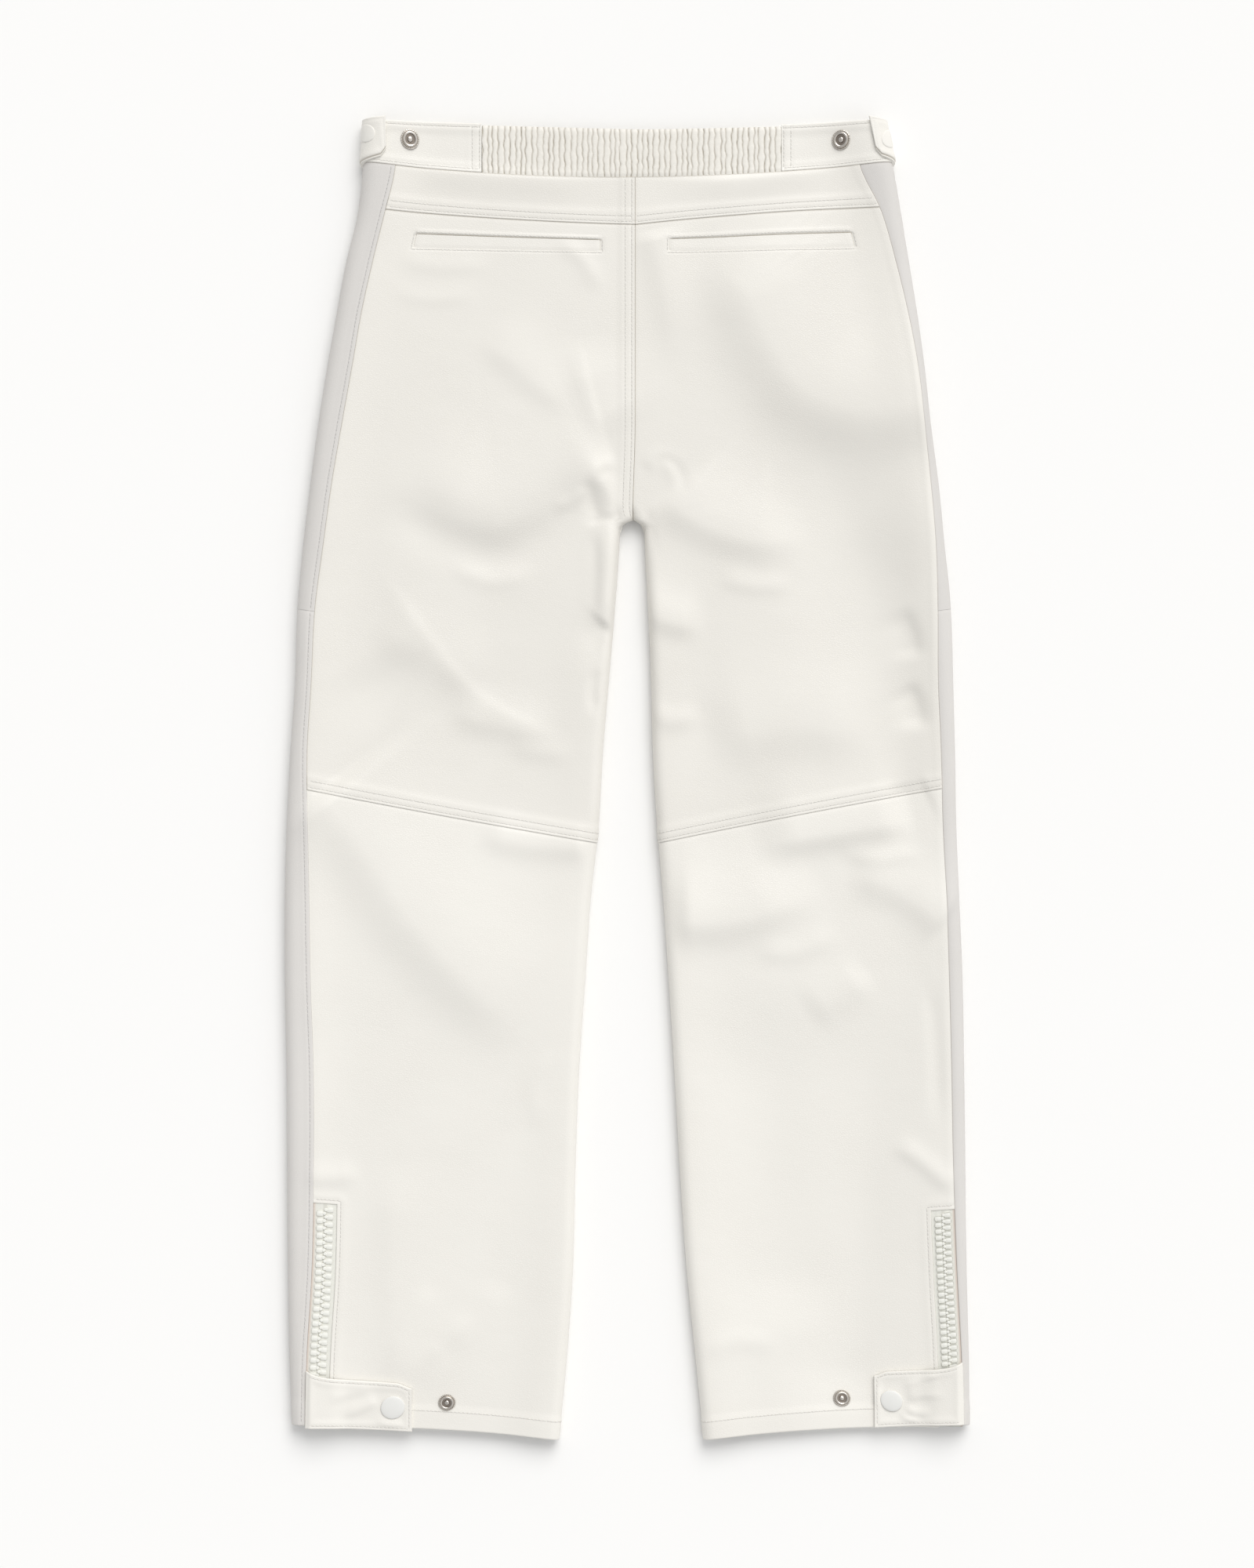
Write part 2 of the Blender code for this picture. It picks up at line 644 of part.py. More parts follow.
def elastic_waistband():
    """Shirred stretch across the centre back, two columns to each ruffle."""
    xs = np.linspace(ELASTIC_LEFT + SEAM_GAP / 2, ELASTIC_RIGHT - SEAM_GAP / 2, 2 * RUFFLE_COUNT + 1)
    rows = [WAIST_TOP + 1.5, WAIST_SEAM - SEAM_GAP / 2]
    points = np.zeros((len(rows), len(xs), 3))
    normals = np.zeros_like(points)
    for j, x in enumerate(xs):
        side = "left" if x < CENTRE_SEAM_X else "right"
        for i, row in enumerate(rows):
            reach = max(SIDES[side] * x, SIDES[side] * inner_edge(side, row))
            column, normal = skin(side, [(row, row)], lambda leg, at, d=reach: [arc_at(leg, at, d)], 1)
            points[i, j] = column[0, 0]
            normals[i, j] = normal[0, 0]
            points[i, j, 0] = x
            points[i, j] += normals[i, j] * RUFFLE_HEIGHT * (j % 2)
    wall("elastic_waistband", points, normals, BAND_WALL, elastic_leather())


def pocket_welt(side):
    """Strip on the thigh panel, made from the panel's own rows and columns."""
    def columns(leg, row):
        return back_columns(THIGH_SHARES)(leg, row)[WELT_COLUMNS]
    panel("pocket_welt_" + side, side, level_rows(WELT_ROWS), columns, LEATHER, leather(),
          raised=SEAM_GAP + LEATHER)


def ankle_zip(side):
    rows = [ZIP_TOP + SEAM_GAP, *ZIP_ROWS, HEM - 1]
    raised = [-ZIP_RECESS, -ZIP_RECESS, CHAIN_RISE - ZIP_RECESS]
    panel("ankle_zip_" + side, side, level_rows(rows), zip_columns, TAPE_WALL, zip_plastic(),
          raised=[raised + raised[::-1]] * len(rows))


def ankle_tab(side):
    """Tab over the zip's lower end, lifted where the slider lies under it."""
    over_slider = [0, 0, 0, 0, 0.3, 1, 1, 1, 0]
    raised = [LAY_GAP + TAB_WALL + SLIDER_ROOM * share for share in over_slider]
    top, low = ANKLE_TAB_ROWS[side]
    rows = np.linspace(top, low, ANKLE_TAB_ROW_STEPS + 1)
    panel("ankle_tab_" + side, side, rows, ankle_tab_columns, TAB_WALL, leather(), raised=[raised] * len(rows))


def spot(side, x, drop):
    """Row and arc position of the point on the back at x and drop."""
    reach = SIDES[side] * x
    row = drop
    for _ in range(5):
        tilt = curve(ROWS, row, "tilt")
        bow = curve(ROWS, row, "bow_" + side)
        inner = SIDES[side] * inner_edge(side, row + tilt)
        share = (reach - inner) / (curve(OUTLINES[side], row, "outer") - inner)
        row = drop - tilt * (1 - share) - bow * 4 * share * (1 - share)
    return row, arc_at(side, row, reach)


def mapped(side, row, arc, offsets, height):
    """Points beside one spot of the skin: along, across and out from it, following the skin."""
    placed = []
    for along, across in offsets:
        def columns(leg, at, shift=across):
            return [arc + shift]
        points, normals = skin(side, [(row + along, row + along)], columns, 1)
        placed.append(points[0, 0] + normals[0, 0] * height)
    return placed


def disc(name, fitting, profile, base, finish):
    """Round fitting whose rings follow the cloth below it."""
    row, arc = spot(fitting.side, fitting.x, fitting.drop)
    bm = bmesh.new()
    rings = []
    for point in profile:
        angles = [2 * math.pi * k / DISC_SIDES for k in range(DISC_SIDES)]
        reach = fitting.radius * point.share
        around = [(reach * math.cos(angle), reach * math.sin(angle)) for angle in angles]
        placed = mapped(fitting.side, row, arc, around, base + point.height)
        rings.append([bm.verts.new(place * MM) for place in placed])
    for low, high in zip(rings, rings[1:]):
        for k in range(DISC_SIDES):
            after = (k + 1) % DISC_SIDES
            bm.faces.new([low[k], low[after], high[after], high[k]])
    for loop, height in ((rings[0], 0.0), (rings[-1], profile[-1].height)):
        centre = bm.verts.new(mapped(fitting.side, row, arc, [(0, 0)], base + height)[0] * MM)
        for k in range(DISC_SIDES):
            bm.faces.new([loop[k], loop[(k + 1) % DISC_SIDES], centre])
    finish_mesh(name, bm, finish)


def fittings():
    on_waist_tab = 2 * LAY_GAP + TAB_WALL
    for cap in CAPS:
        disc(cap.name, cap, CAP_PROFILE, on_waist_tab, cap_plastic())
    for stud in STUDS:
        disc(stud.name, stud, STUD_PROFILE, LAY_GAP, stud_steel())


def zip_slider(side):
    """Top plate of the slider, flat on the chain under the tab."""
    def columns(leg, row):
        found = zip_columns(leg, row)
        middle = (found[0] + found[-1]) / 2
        width = SLIDER_SIZE[0]
        return [middle - width / 2, middle - width / 4, middle + width / 4, middle + width / 2]
    half = SLIDER_SIZE[1] / 2
    rows = level_rows([SLIDER_DROP - half, SLIDER_DROP, SLIDER_DROP + half])
    panel("zip_slider_" + side, side, rows, columns, SLIDER_SIZE[2], stud_steel(),
          raised=CHAIN_RISE - ZIP_RECESS + SEAM_GAP + SLIDER_SIZE[2])


for old in list(bpy.data.objects):
    bpy.data.objects.remove(old, do_unlink=True)
GARMENT = bpy.data.collections.new("biker_pants")
bpy.context.scene.collection.children.link(GARMENT)

elastic_waistband()
for leg_side in SIDES:
    waistband(leg_side)
    back_panels(leg_side)
    stripe_panels(leg_side)
    front_panels(leg_side)
    pocket_welt(leg_side)
    ankle_zip(leg_side)
    zip_slider(leg_side)
    ankle_tab(leg_side)
fittings()
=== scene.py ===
"""Leather biker pants laid out flat on a pale surface, back side up.

The tables are in millimetres and the meshes in metres. X runs to the right as the garment is seen from
above, Y to the waist and Z up. A drop is measured down from the top of the waistband.

Each leg is a flattened tube of leather. A ring of it starts at the inner edge of the back, runs over the
top to the side, rolls round it and comes back underneath, flat on the surface. Every panel is a stretch of
this skin with its own thickness, and its edges are shaped as they are sewn: folded over a neighbour, tucked
under it, or turned and stitched.
"""
from collections import namedtuple
from functools import lru_cache
import math
import random

import bmesh
import bpy
import numpy as np
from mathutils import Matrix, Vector


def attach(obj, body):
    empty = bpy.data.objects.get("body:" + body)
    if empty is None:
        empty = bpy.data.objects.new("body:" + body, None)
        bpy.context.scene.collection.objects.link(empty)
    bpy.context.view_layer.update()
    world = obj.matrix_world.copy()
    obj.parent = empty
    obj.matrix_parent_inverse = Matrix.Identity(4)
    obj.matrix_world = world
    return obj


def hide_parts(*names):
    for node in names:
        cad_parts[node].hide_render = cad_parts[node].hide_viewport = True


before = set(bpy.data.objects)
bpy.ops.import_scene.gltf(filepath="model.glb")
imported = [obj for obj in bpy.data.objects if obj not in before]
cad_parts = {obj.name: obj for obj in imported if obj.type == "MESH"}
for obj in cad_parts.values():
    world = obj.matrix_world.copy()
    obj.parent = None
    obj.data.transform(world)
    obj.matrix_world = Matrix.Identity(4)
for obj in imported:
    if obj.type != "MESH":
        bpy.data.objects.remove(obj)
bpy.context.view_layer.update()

MM = 0.001

# ---------------------------------------------------------------- sizes of the cut, in millimetres

LENGTH = 1081.9
CROTCH = 331.5
WAIST_TOP = 4.0
WAIST_SEAM = 38.0
YOKE_SEAM = 75.0
STRIPE_JOIN = 402.5
KNEE_SEAM = 547.0
ZIP_TOP = {"left": 885.0, "right": 891.0}
HEM = 1070.5
FLY_END = 210.0

SEAM_GAP = 0.3
JOIN_GAP = 0.08
LAY_GAP = 0.4
LEATHER = 1.3
STRIPE_WALL = 1.2
BAND_WALL = 2.4
TAB_WALL = 2.6
TAPE_WALL = 1.0
LOWEST = 0.02
FAR = 9.0

CENTRE_SEAM_X = 6.5
CROTCH_X = 4.5
CROTCH_ROUNDING = 7.0
CROTCH_CLOSING = 15.0
INNER_ROLL_RADIUS = 8.0
INNER_ROLL_HEIGHT = 15.0
INNER_ROLL_RUN = 70.0
SAG_REACH = 26.0
INSEAM_WRAP = 19.0
INSEAM_WRAP_REACH = 90.0

ELASTIC_LEFT = -118.5
ELASTIC_RIGHT = 126.0
RUFFLE_COUNT = 54
FRONT_BAND_REACH = 62.0
FRONT_WAIST_DIP = 10.0
FRONT_HEM_RISE = 2.5
FLY_WIDTH = 38.0
ZIP_WIDTH = 19.3
ZIP_RECESS = 0.6
TAPE_VISIBLE = 3.9
WELT_TOP = 95.0
WELT_BOTTOM = 106.5
WELT_SINK = 1.5
WELT_SHARE = 0.832
WELT_FROM_CENTRE = 28.5
WELT_WALL = 0.9
WELT_STITCH = 2.0
RUFFLE_DEPTH = 1.5
ELASTIC_STITCH_ROWS = 7

# Top and bottom edges of the tabs, each as its drops at the free end and at the far end.
WAIST_TAB_ROWS = {"left": [(1.0, 5.0), (31.0, 43.5)], "right": [(1.0, 7.0), (32.0, 42.5)]}
WAIST_TAB_START = {"left": 196.5, "right": 197.5}
WAIST_TAB_SLANT = {"left": 0.0, "right": 0.22}
WAIST_TAB_REACH = 7.0
ANKLE_TAB_ROWS = {"left": [(1036.0, 1023.5), (1073.0, 1070.5)], "right": [(1027.0, 1016.5), (1070.5, 1067.5)]}
ANKLE_TAB_START = {"left": 175.5, "right": 202.0}
SLIDER_ROOM = 2.2
SLIDER_DROP = 1050.0
CUT_CORNER_SHARE = 0.13

SIDES = {"left": -1, "right": 1}

# Outline of each leg: how far the side edge, the stripe seam and the inner edge stand from the middle.
# Above the crotch the inner edge is the centre seam.
Outline = namedtuple("Outline", "drop outer stripe inner")
OUTLINES = {
    "left": [Outline(*row) for row in (
        (4, 213, 187, 0), (40, 215.5, 189, 0), (80, 220, 198, 0), (120, 229.5, 207.5, 0),
        (160, 237, 216.5, 0), (200, 244, 223.5, 0), (250, 252, 232.5, 0), (300, 258.5, 241, 4),
        (350, 264.5, 248, 6), (400, 269, 254.5, 9.5), (460, 271, 257.5, 14.5), (520, 275, 261, 19.5),
        (580, 278, 260, 23), (640, 279.5, 259, 29.5), (700, 279.5, 258, 33.5), (780, 278, 255.5, 39),
        (860, 277.5, 255.5, 42), (940, 277, 257, 44), (1020, 275.5, 261.5, 49.5),
        (1085, 272.5, 262.5, 56),
    )],
    "right": [Outline(*row) for row in (
        (4, 209, 184, 0), (40, 217, 190, 0), (80, 224, 207.5, 0), (120, 230.5, 219, 0),
        (160, 237, 228.5, 0), (200, 242.5, 236, 0), (250, 248, 242, 0), (300, 254.5, 247.5, 12),
        (350, 259.5, 251.5, 14.5), (400, 264.5, 253, 17), (460, 266.5, 253.5, 19.5),
        (520, 268, 256, 21), (580, 269, 257.5, 24.5), (640, 271.5, 260.5, 29.5),
        (700, 274, 262.5, 33.5), (780, 275.5, 264.5, 38.5), (860, 276.5, 266, 43),
        (940, 277.5, 269, 48.5), (1020, 279.5, 273, 56.5), (1085, 279.8, 274, 63),
    )],
}

# How a cross seam runs: it starts at the drop on the side edge, its inner end lies lower by the tilt, and
# its middle lies lower than a straight line by the bow of that leg.
Row = namedtuple("Row", "drop tilt bow_left bow_right")
ROWS = [Row(*row) for row in (
    (4, 5.6, 0, 1), (38, 12, 3.5, 2.5), (75, 14, 2, -2.5), (95, 7.5, 0.5, -0.5), (107, 4.5, 0, 0),
    (165, 13, 0, 0), (302, 29.5, 0, 0), (547, 46.5, 1, -1), (800, 28, 0, 0), (1000, 14, -2.5, -2.5),
    (1071, 10, -4, -4),
)]

# Heights of the tube as it lies: the middle of the back, the top of the side roll and the roll's radius.
Height = namedtuple("Height", "drop middle roll radius")
HEIGHTS = [Height(*row) for row in (
    (4, 13, 19, 12), (40, 13, 19, 12), (90, 14, 18, 11), (200, 15, 18, 10), (320, 14.5, 18, 10),
    (450, 12.5, 17, 10), (560, 13, 17, 10), (700, 13, 16.5, 9.5), (900, 12, 15.5, 9),
    (1085, 11, 14.5, 8.5),
)]

# Developed width of the side stripe, from its back seam round the side to its front seam.
StripeWidth = namedtuple("StripeWidth", "drop width")
STRIPE_WIDTHS = [StripeWidth(38, 62), StripeWidth(400, 54), StripeWidth(700, 54), StripeWidth(1085, 44)]

# Hard pieces on the cloth: where each lies and its radius.
Fitting = namedtuple("Fitting", "side x drop radius")
WAIST_CAPS = [Fitting("left", -211.0, 15.5, 7.4), Fitting("right", 211.5, 20.0, 7.4)]
ANKLE_CAPS = [Fitting("left", -191.0, 1053.5, 9.8), Fitting("right", 216.0, 1048.5, 8.9)]
WAIST_STUDS = [Fitting("left", -177.0, 20.0, 7.6), Fitting("right", 174.5, 20.5, 7.6)]
ANKLE_STUDS = [Fitting("left", -147.0, 1050.0, 7.1), Fitting("right", 175.5, 1047.0, 7.1)]
TOOTH_PITCH = {"left": 6.1, "right": 5.2}

# Folds, each a soft ridge along a smooth path of (x, drop) points. It falls away over one reach towards the
# waist and the right, and over the other towards the hem and the left. A negative rise is a trough. The rise
# fades in and out over a share of the path at its start and its end.
Fold = namedtuple("Fold", "rise upper lower path fade", defaults=((0.3, 0.3),))
FOLDS = [
    # left seat and crotch
    Fold(4.2, 54, 24, ((-206, 288), (-150, 322), (-104, 332), (-62, 312), (-30, 286), (-10, 279)),
         (0.25, 0.22)),
    Fold(-2.8, 20, 20, ((-200, 306), (-166, 330), (-134, 346), (-106, 354), (-77, 343), (-46, 316), (-24, 294)),
         (0.2, 0.2)),
    Fold(1.4, 26, 12, ((-122, 176), (-82, 211), (-36, 246))),
    Fold(2.1, 36, 13, ((-40, 178), (-34, 212), (-23, 242), (-8, 266)), (0.4, 0.3)),
    Fold(1.2, 7, 7, ((-24, 292), (-16, 306), (-12, 328)), (0.3, 0.1)),
    Fold(-1.3, 5, 7, ((-33, 296), (-29, 312), (-22, 334)), (0.3, 0.1)),
    # left thigh
    Fold(0.5, 5, 10, ((-206, 366), (-166, 423), (-125, 471), (-77, 500), (-38, 513)), (0.2, 0.4)),
    Fold(2.3, 32, 20, ((-210, 412), (-160, 438), (-112, 474)), (0.3, 0.3)),
    Fold(2.0, 20, 12, ((-150, 484), (-106, 496), (-56, 505))),
    Fold(3.2, 17, 12, ((-9, 318), (-14, 346), (-17, 388), (-21, 434)), (0.5, 0.3)),
    Fold(-2.0, 36, 36, ((-214, 440), (-196, 470), (-176, 486)), (0.4, 0.5)),
    # left calf
    Fold(5.4, 64, 29, ((-252, 548), (-206, 608), (-174, 656), (-128, 706), (-66, 762)), (0.06, 0.25)),
    Fold(1.9, 16, 11, ((-124, 584), (-83, 594), (-30, 597)), (0.3, 0.1)),
    Fold(1.6, 40, 18, ((-190, 850), (-188, 930), (-187, 1015)), (0.3, 0.0)),
    # right seat and crotch
    Fold(6.9, 78, 33, ((62, 100), (96, 142), (120, 189), (150, 227), (198, 240), (250, 234)), (0.25, 0.0)),
    Fold(3.6, 40, 16, ((28, 306), (44, 322), (74, 338), (112, 347), (150, 341)), (0.25, 0.3)),
    Fold(3.4, 12, 50, ((238, 268), (244, 330), (248, 410), (248, 500)), (0.4, 0.4)),
    Fold(-5.2, 43, 58, ((122, 214), (147, 268), (168, 314), (187, 362), (207, 440), (222, 520)), (0.45, 0.4)),
    # right thigh
    Fold(2.4, 22, 10, ((14, 404), (38, 414), (66, 416)), (0.0, 0.4)),
    Fold(2.9, 46, 24, ((62, 512), (128, 498), (212, 502))),
    # right calf
    Fold(4.0, 42, 13, ((100, 595), (160, 586), (236, 574)), (0.35, 0.2)),
    Fold(4.4, 38, 18, ((34, 658), (96, 654), (164, 628)), (0.15, 0.4)),
    Fold(2.6, 26, 15, ((178, 616), (222, 632), (262, 660)), (0.3, 0.1)),
    Fold(1.6, 20, 15, ((146, 736), (200, 700))),
    Fold(-4.6, 36, 50, ((200, 700), (192, 800), (186, 900), (182, 1020)), (0.4, 0.0)),
    Fold(-2.8, 38, 38, ((108, 700), (116, 850), (128, 1000)), (0.3, 0.2)),
]
# Smaller creases, which only the leather's own surface shows.
CREASES = [
    # under the waistband
    Fold(1.4, 6, 13, ((-190, 44), (-100, 51), (-10, 55)), (0.3, 0.4)),
    Fold(1.3, 6, 12, ((20, 57), (100, 53), (184, 45)), (0.4, 0.3)),
    Fold(0.7, 7, 7, ((-60, 100), (-36, 118), (-20, 146))),
    Fold(1.6, 22, 13, ((20, 92), (30, 130), (38, 175), (44, 222)), (0.1, 0.5)),
    # seat
    Fold(0.5, 9, 6, ((-190, 118), (-150, 124), (-104, 122))),
    Fold(0.45, 8, 6, ((-196, 146), (-156, 150), (-118, 147))),
    Fold(0.75, 8, 6, ((14, 290), (26, 280), (37, 291), (40, 320)), (0.2, 0.5)),
    Fold(0.9, 10, 7, ((70, 376), (104, 384), (138, 382))),
    Fold(0.7, 9, 7, ((-150, 366), (-110, 380), (-72, 372))),
    Fold(0.9, 6, 5, ((-30, 300), (-44, 314), (-62, 322))),
    # drawn in round the crotch
    Fold(0.7, 6, 4, ((-5, 290), (-17, 285), (-26, 294), (-29, 310)), (0.3, 0.4)),
    Fold(-1.1, 3, 3, ((-8, 316), (-7.5, 327), (-10, 338)), (0.4, 0.3)),
    Fold(-1.0, 4, 6, ((-26, 338), (-25, 376), (-27, 416)), (0.25, 0.3)),
    Fold(-0.8, 4, 5, ((17, 284), (33, 281), (44, 293), (46, 318)), (0.3, 0.5)),
    Fold(-0.7, 3, 4, ((15, 318), (20, 336), (24, 366)), (0.4, 0.4)),
    # inner side of the left thigh
    Fold(-2.5, 9, 13, ((-16, 414), (-24, 426), (-28, 462)), (0.2, 0.75)),
    Fold(-1.0, 4, 4, ((-24, 450), (-28, 468), (-26, 492))),
    # left thigh
    Fold(0.8, 10, 8, ((-100, 512), (-72, 519), (-40, 522))),
    # outer side of the right thigh, beside the stripe
    Fold(-2.0, 7, 15, ((222, 400), (232, 424), (236, 446))),
    Fold(-2.2, 7, 15, ((226, 462), (236, 480), (240, 504))),
    Fold(-1.5, 7, 24, ((210, 553), (230, 551), (246, 545)), (0.4, 0.2)),
    # right knee and calf
    Fold(1.1, 10, 8, ((24, 490), (40, 494), (62, 486)), (0.0, 0.4)),
    Fold(1.1, 12, 9, ((100, 680), (138, 682), (176, 664))),
    Fold(0.9, 9, 7, ((170, 600), (206, 606), (244, 600))),
    Fold(-1.0, 6, 7, ((246, 700), (252, 760), (254, 830))),
    Fold(1.4, 9, 7, ((214, 838), (236, 850), (258, 868)), (0.4, 0.0)),
    Fold(0.7, 9, 9, ((56, 1010), (90, 1000), (130, 1004))),
    # left calf
    Fold(1.1, 10, 7, ((-252, 866), (-236, 866), (-214, 863)), (0.0, 0.4)),
    Fold(0.5, 9, 8, ((-60, 760), (-76, 790), (-72, 830))),
    Fold(0.8, 16, 12, ((-150, 1010), (-120, 984), (-100, 950))),
    Fold(0.8, 12, 8, ((-196, 1024), (-178, 985), (-158, 950))),
    Fold(0.6, 9, 7, ((-164, 1022), (-146, 998), (-124, 978))),
]
# Creases of the ankle tabs, drawn in by their snaps.
TAB_CREASES = [
    Fold(1.1, 7, 4, ((-236, 1061), (-214, 1053), (-202, 1047))),
    Fold(0.8, 7, 4, ((-246, 1047), (-226, 1042), (-204, 1037))),
    Fold(0.7, 5, 3, ((-207, 1062), (-195, 1067), (-180, 1067))),
    Fold(1.1, 4, 2.4, ((224, 1037), (240, 1032), (256, 1025))),
    Fold(0.9, 3.5, 2.2, ((227, 1042), (242, 1037), (258, 1034)), (0.2, 0.6)),
    Fold(1.1, 4, 2.6, ((227, 1047), (244, 1043), (262, 1044)), (0.2, 0.5)),
    Fold(1.1, 4, 2.6, ((225, 1053), (236, 1058), (250, 1057))),
    Fold(0.8, 3, 2.2, ((222, 1057), (229, 1063), (240, 1064))),
    Fold(0.5, 3, 2, ((206, 1037), (204, 1047), (205, 1056))),
]
# Creases of the front, which lies underneath: they lift it a little off the surface.
FRONT_FOLDS = [
    Fold(0.9, 14, 14, ((-60, 250), (-120, 286), (-190, 300))),
    Fold(0.8, 10, 10, ((-40, 340), (-90, 370), (-150, 380))),
    Fold(1.0, 12, 12, ((-90, 560), (-150, 584), (-210, 600))),
    Fold(0.8, 9, 9, ((-80, 640), (-140, 636), (-200, 620))),
    Fold(0.9, 13, 13, ((60, 260), (120, 292), (180, 310))),
    Fold(0.7, 10, 10, ((50, 350), (100, 366), (160, 372))),
    Fold(1.0, 12, 12, ((80, 575), (150, 572), (220, 555))),
    Fold(0.8, 9, 9, ((90, 650), (140, 664), (190, 668))),
]
DOWNHILL = (-0.5, 0.87)
FOLD_GAIN = 1.25
PATH_STEPS = 8
FOLD_MARGIN = 2.6

# Where the leather undulates on its own: length of the waves and height, in millimetres.
Wave = namedtuple("Wave", "length height count seed")
WAVES = [Wave(150, 0.3, 7, 3), Wave(62, 0.05, 9, 8), Wave(26, 0.02, 11, 21)]

# How an edge is sewn: the height of the folded leather, the radius of its fold, how far the double layer
# runs back from the edge, how far the edge is sunk under its neighbour, and the stitch rows.
Seam = namedtuple("Seam", "height fold run sink stitches")
FREE = Seam(0, 0.5, 1, 0, ())
UNSEWN = (FREE, FREE, FREE, FREE)
TUCKED = Seam(0, 0.5, 1, 0.22, ())
PLAIN = Seam(0, 0.5, 1, 0.25, ())
LIPPED = Seam(0.3, 0.7, 3.5, 0, ())
LAPPED = Seam(0.6, 0.7, 9.5, 0, (2.6, 7.8))
EDGE_STITCHED = Seam(0.45, 0.7, 4.0, 0, (3.2,))
TURNED = Seam(0.7, 1.1, 4.5, 0, (2.6,))
BAND_END = Seam(0.15, 0.8, 9.0, 0, (1.7, 7.6))
ZIP_EDGE = Seam(0.3, 0.8, 6.0, 0, (3.2,))
HEMMED = Seam(0.7, 1.2, 16, 0, (15.6,))
TAB_EDGE = Seam(0.5, 1.2, 4.0, 0, (2.3,))
LAYER_FADE = 5.0
STITCH_PRESS = 0.22
STITCH_REACH = 0.9
SINK_REACH = 1.8

EDGE_STEPS = [0.0, 0.25, 0.6, 1.0, 1.5, 2.1, 2.8, 3.6, 4.6, 6.0, 7.6, 9.4]

STITCH_PITCH = 3.3
STITCH_LENGTH = 2.5
STITCH_WIDTH = 0.62
STITCH_SIDES = 6
HOLE_RADIUS = 0.5
# Painted shade beside a tucked edge: how dark it is, and how far it reaches.
TUCK_SHADE = 0.75
TUCK_SHADE_REACH = 0.55
SHARP_LEATHER = 60
SHARP_FITTING = 40

# Painted light and shade: how deep each panel's tone is painted, from 0, the palest hide, so that each panel
# comes out as bright as it lies in the light.
USUAL_PAINTED_SHADE = 0.3
TAB_PAINTED_SHADE = 0.1
PAINTED_PANEL_SHADES = {
    "back_yoke_left": 0.65, "back_yoke_right": 0.5, "back_thigh_left": 0.48, "back_thigh_right": 0.55,
    "back_calf_left": 0.1, "back_calf_right": 0.1, "side_waistband_left": 0.2, "side_waistband_right": 0.1,
    "side_stripe_upper_left": 0.4, "side_stripe_upper_right": 1.0, "side_stripe_lower_left": 0.0,
    "side_stripe_lower_right": 0.5,
}

BACK_STEP = 2.7
STRIPE_STEP = 3.0
FRONT_STEP = 6.5
BAND_STEP = 2.2
TAB_STEP = 2.4
ARCH_STEPS = 24
TOP_STEPS = 260
FLAT_STEPS = 120

GARMENT = bpy.data.collections.new("biker_pants")
bpy.context.scene.collection.children.link(GARMENT)


# ---------------------------------------------------------------- the skin of the legs

def hermite(t, low, high, low_slope, high_slope):
    """Smooth curve from one value to another that leaves and meets them at the given slopes."""
    start = (1 + 2 * t) * (1 - t) ** 2 * low + t * (1 - t) ** 2 * low_slope
    return start + t * t * (3 - 2 * t) * high + t * t * (t - 1) * high_slope


def curve(table, at, column):
    """Smooth curve through one column of a table, read at a drop."""
    drops = np.array([row.drop for row in table], float)
    values = np.array([getattr(row, column) for row in table], float)
    slopes = np.gradient(values, drops)
    i = int(np.clip(np.searchsorted(drops, at) - 1, 0, len(drops) - 2))
    span = drops[i + 1] - drops[i]
    t = min(max((at - drops[i]) / span, 0.0), 1.0)
    return hermite(t, values[i], values[i + 1], span * slopes[i], span * slopes[i + 1])


def ease(t):
    """Smooth step from 0 to 1."""
    t = np.clip(t, 0.0, 1.0)
    return t * t * (3 - 2 * t)


def inner_edge(side, drop):
    """Signed x of a leg's inner edge: the centre seam, the round of the crotch, then the inner leg."""
    sign = SIDES[side]
    centre = CENTRE_SEAM_X + (CROTCH_X - CENTRE_SEAM_X) * ease((drop - 250) / (CROTCH - 250))
    if drop > CROTCH:
        below = max(drop, CROTCH + CROTCH_ROUNDING)
        leg = sign * curve(OUTLINES[side], below, "inner")
        u = min((drop - CROTCH) / CROTCH_ROUNDING, 1.0)
        centre += (leg - centre) * math.sqrt(1 - (1 - u) ** 2)
    return centre + sign * JOIN_GAP / 2


@lru_cache(maxsize=None)
def smooth_path(path):
    """Points along a fold's path, and the sign that turns its left side downhill."""
    given = np.array(path, float)
    slopes = np.gradient(given, axis=0)
    found = []
    for i in range(len(given) - 1):
        for t in np.arange(PATH_STEPS) / PATH_STEPS:
            found.append(hermite(t, given[i], given[i + 1], slopes[i], slopes[i + 1]))
    found.append(given[-1])
    chord = given[-1] - given[0]
    downhill = 1.0 if -chord[1] * DOWNHILL[0] + chord[0] * DOWNHILL[1] > 0 else -1.0
    return np.array(found), downhill


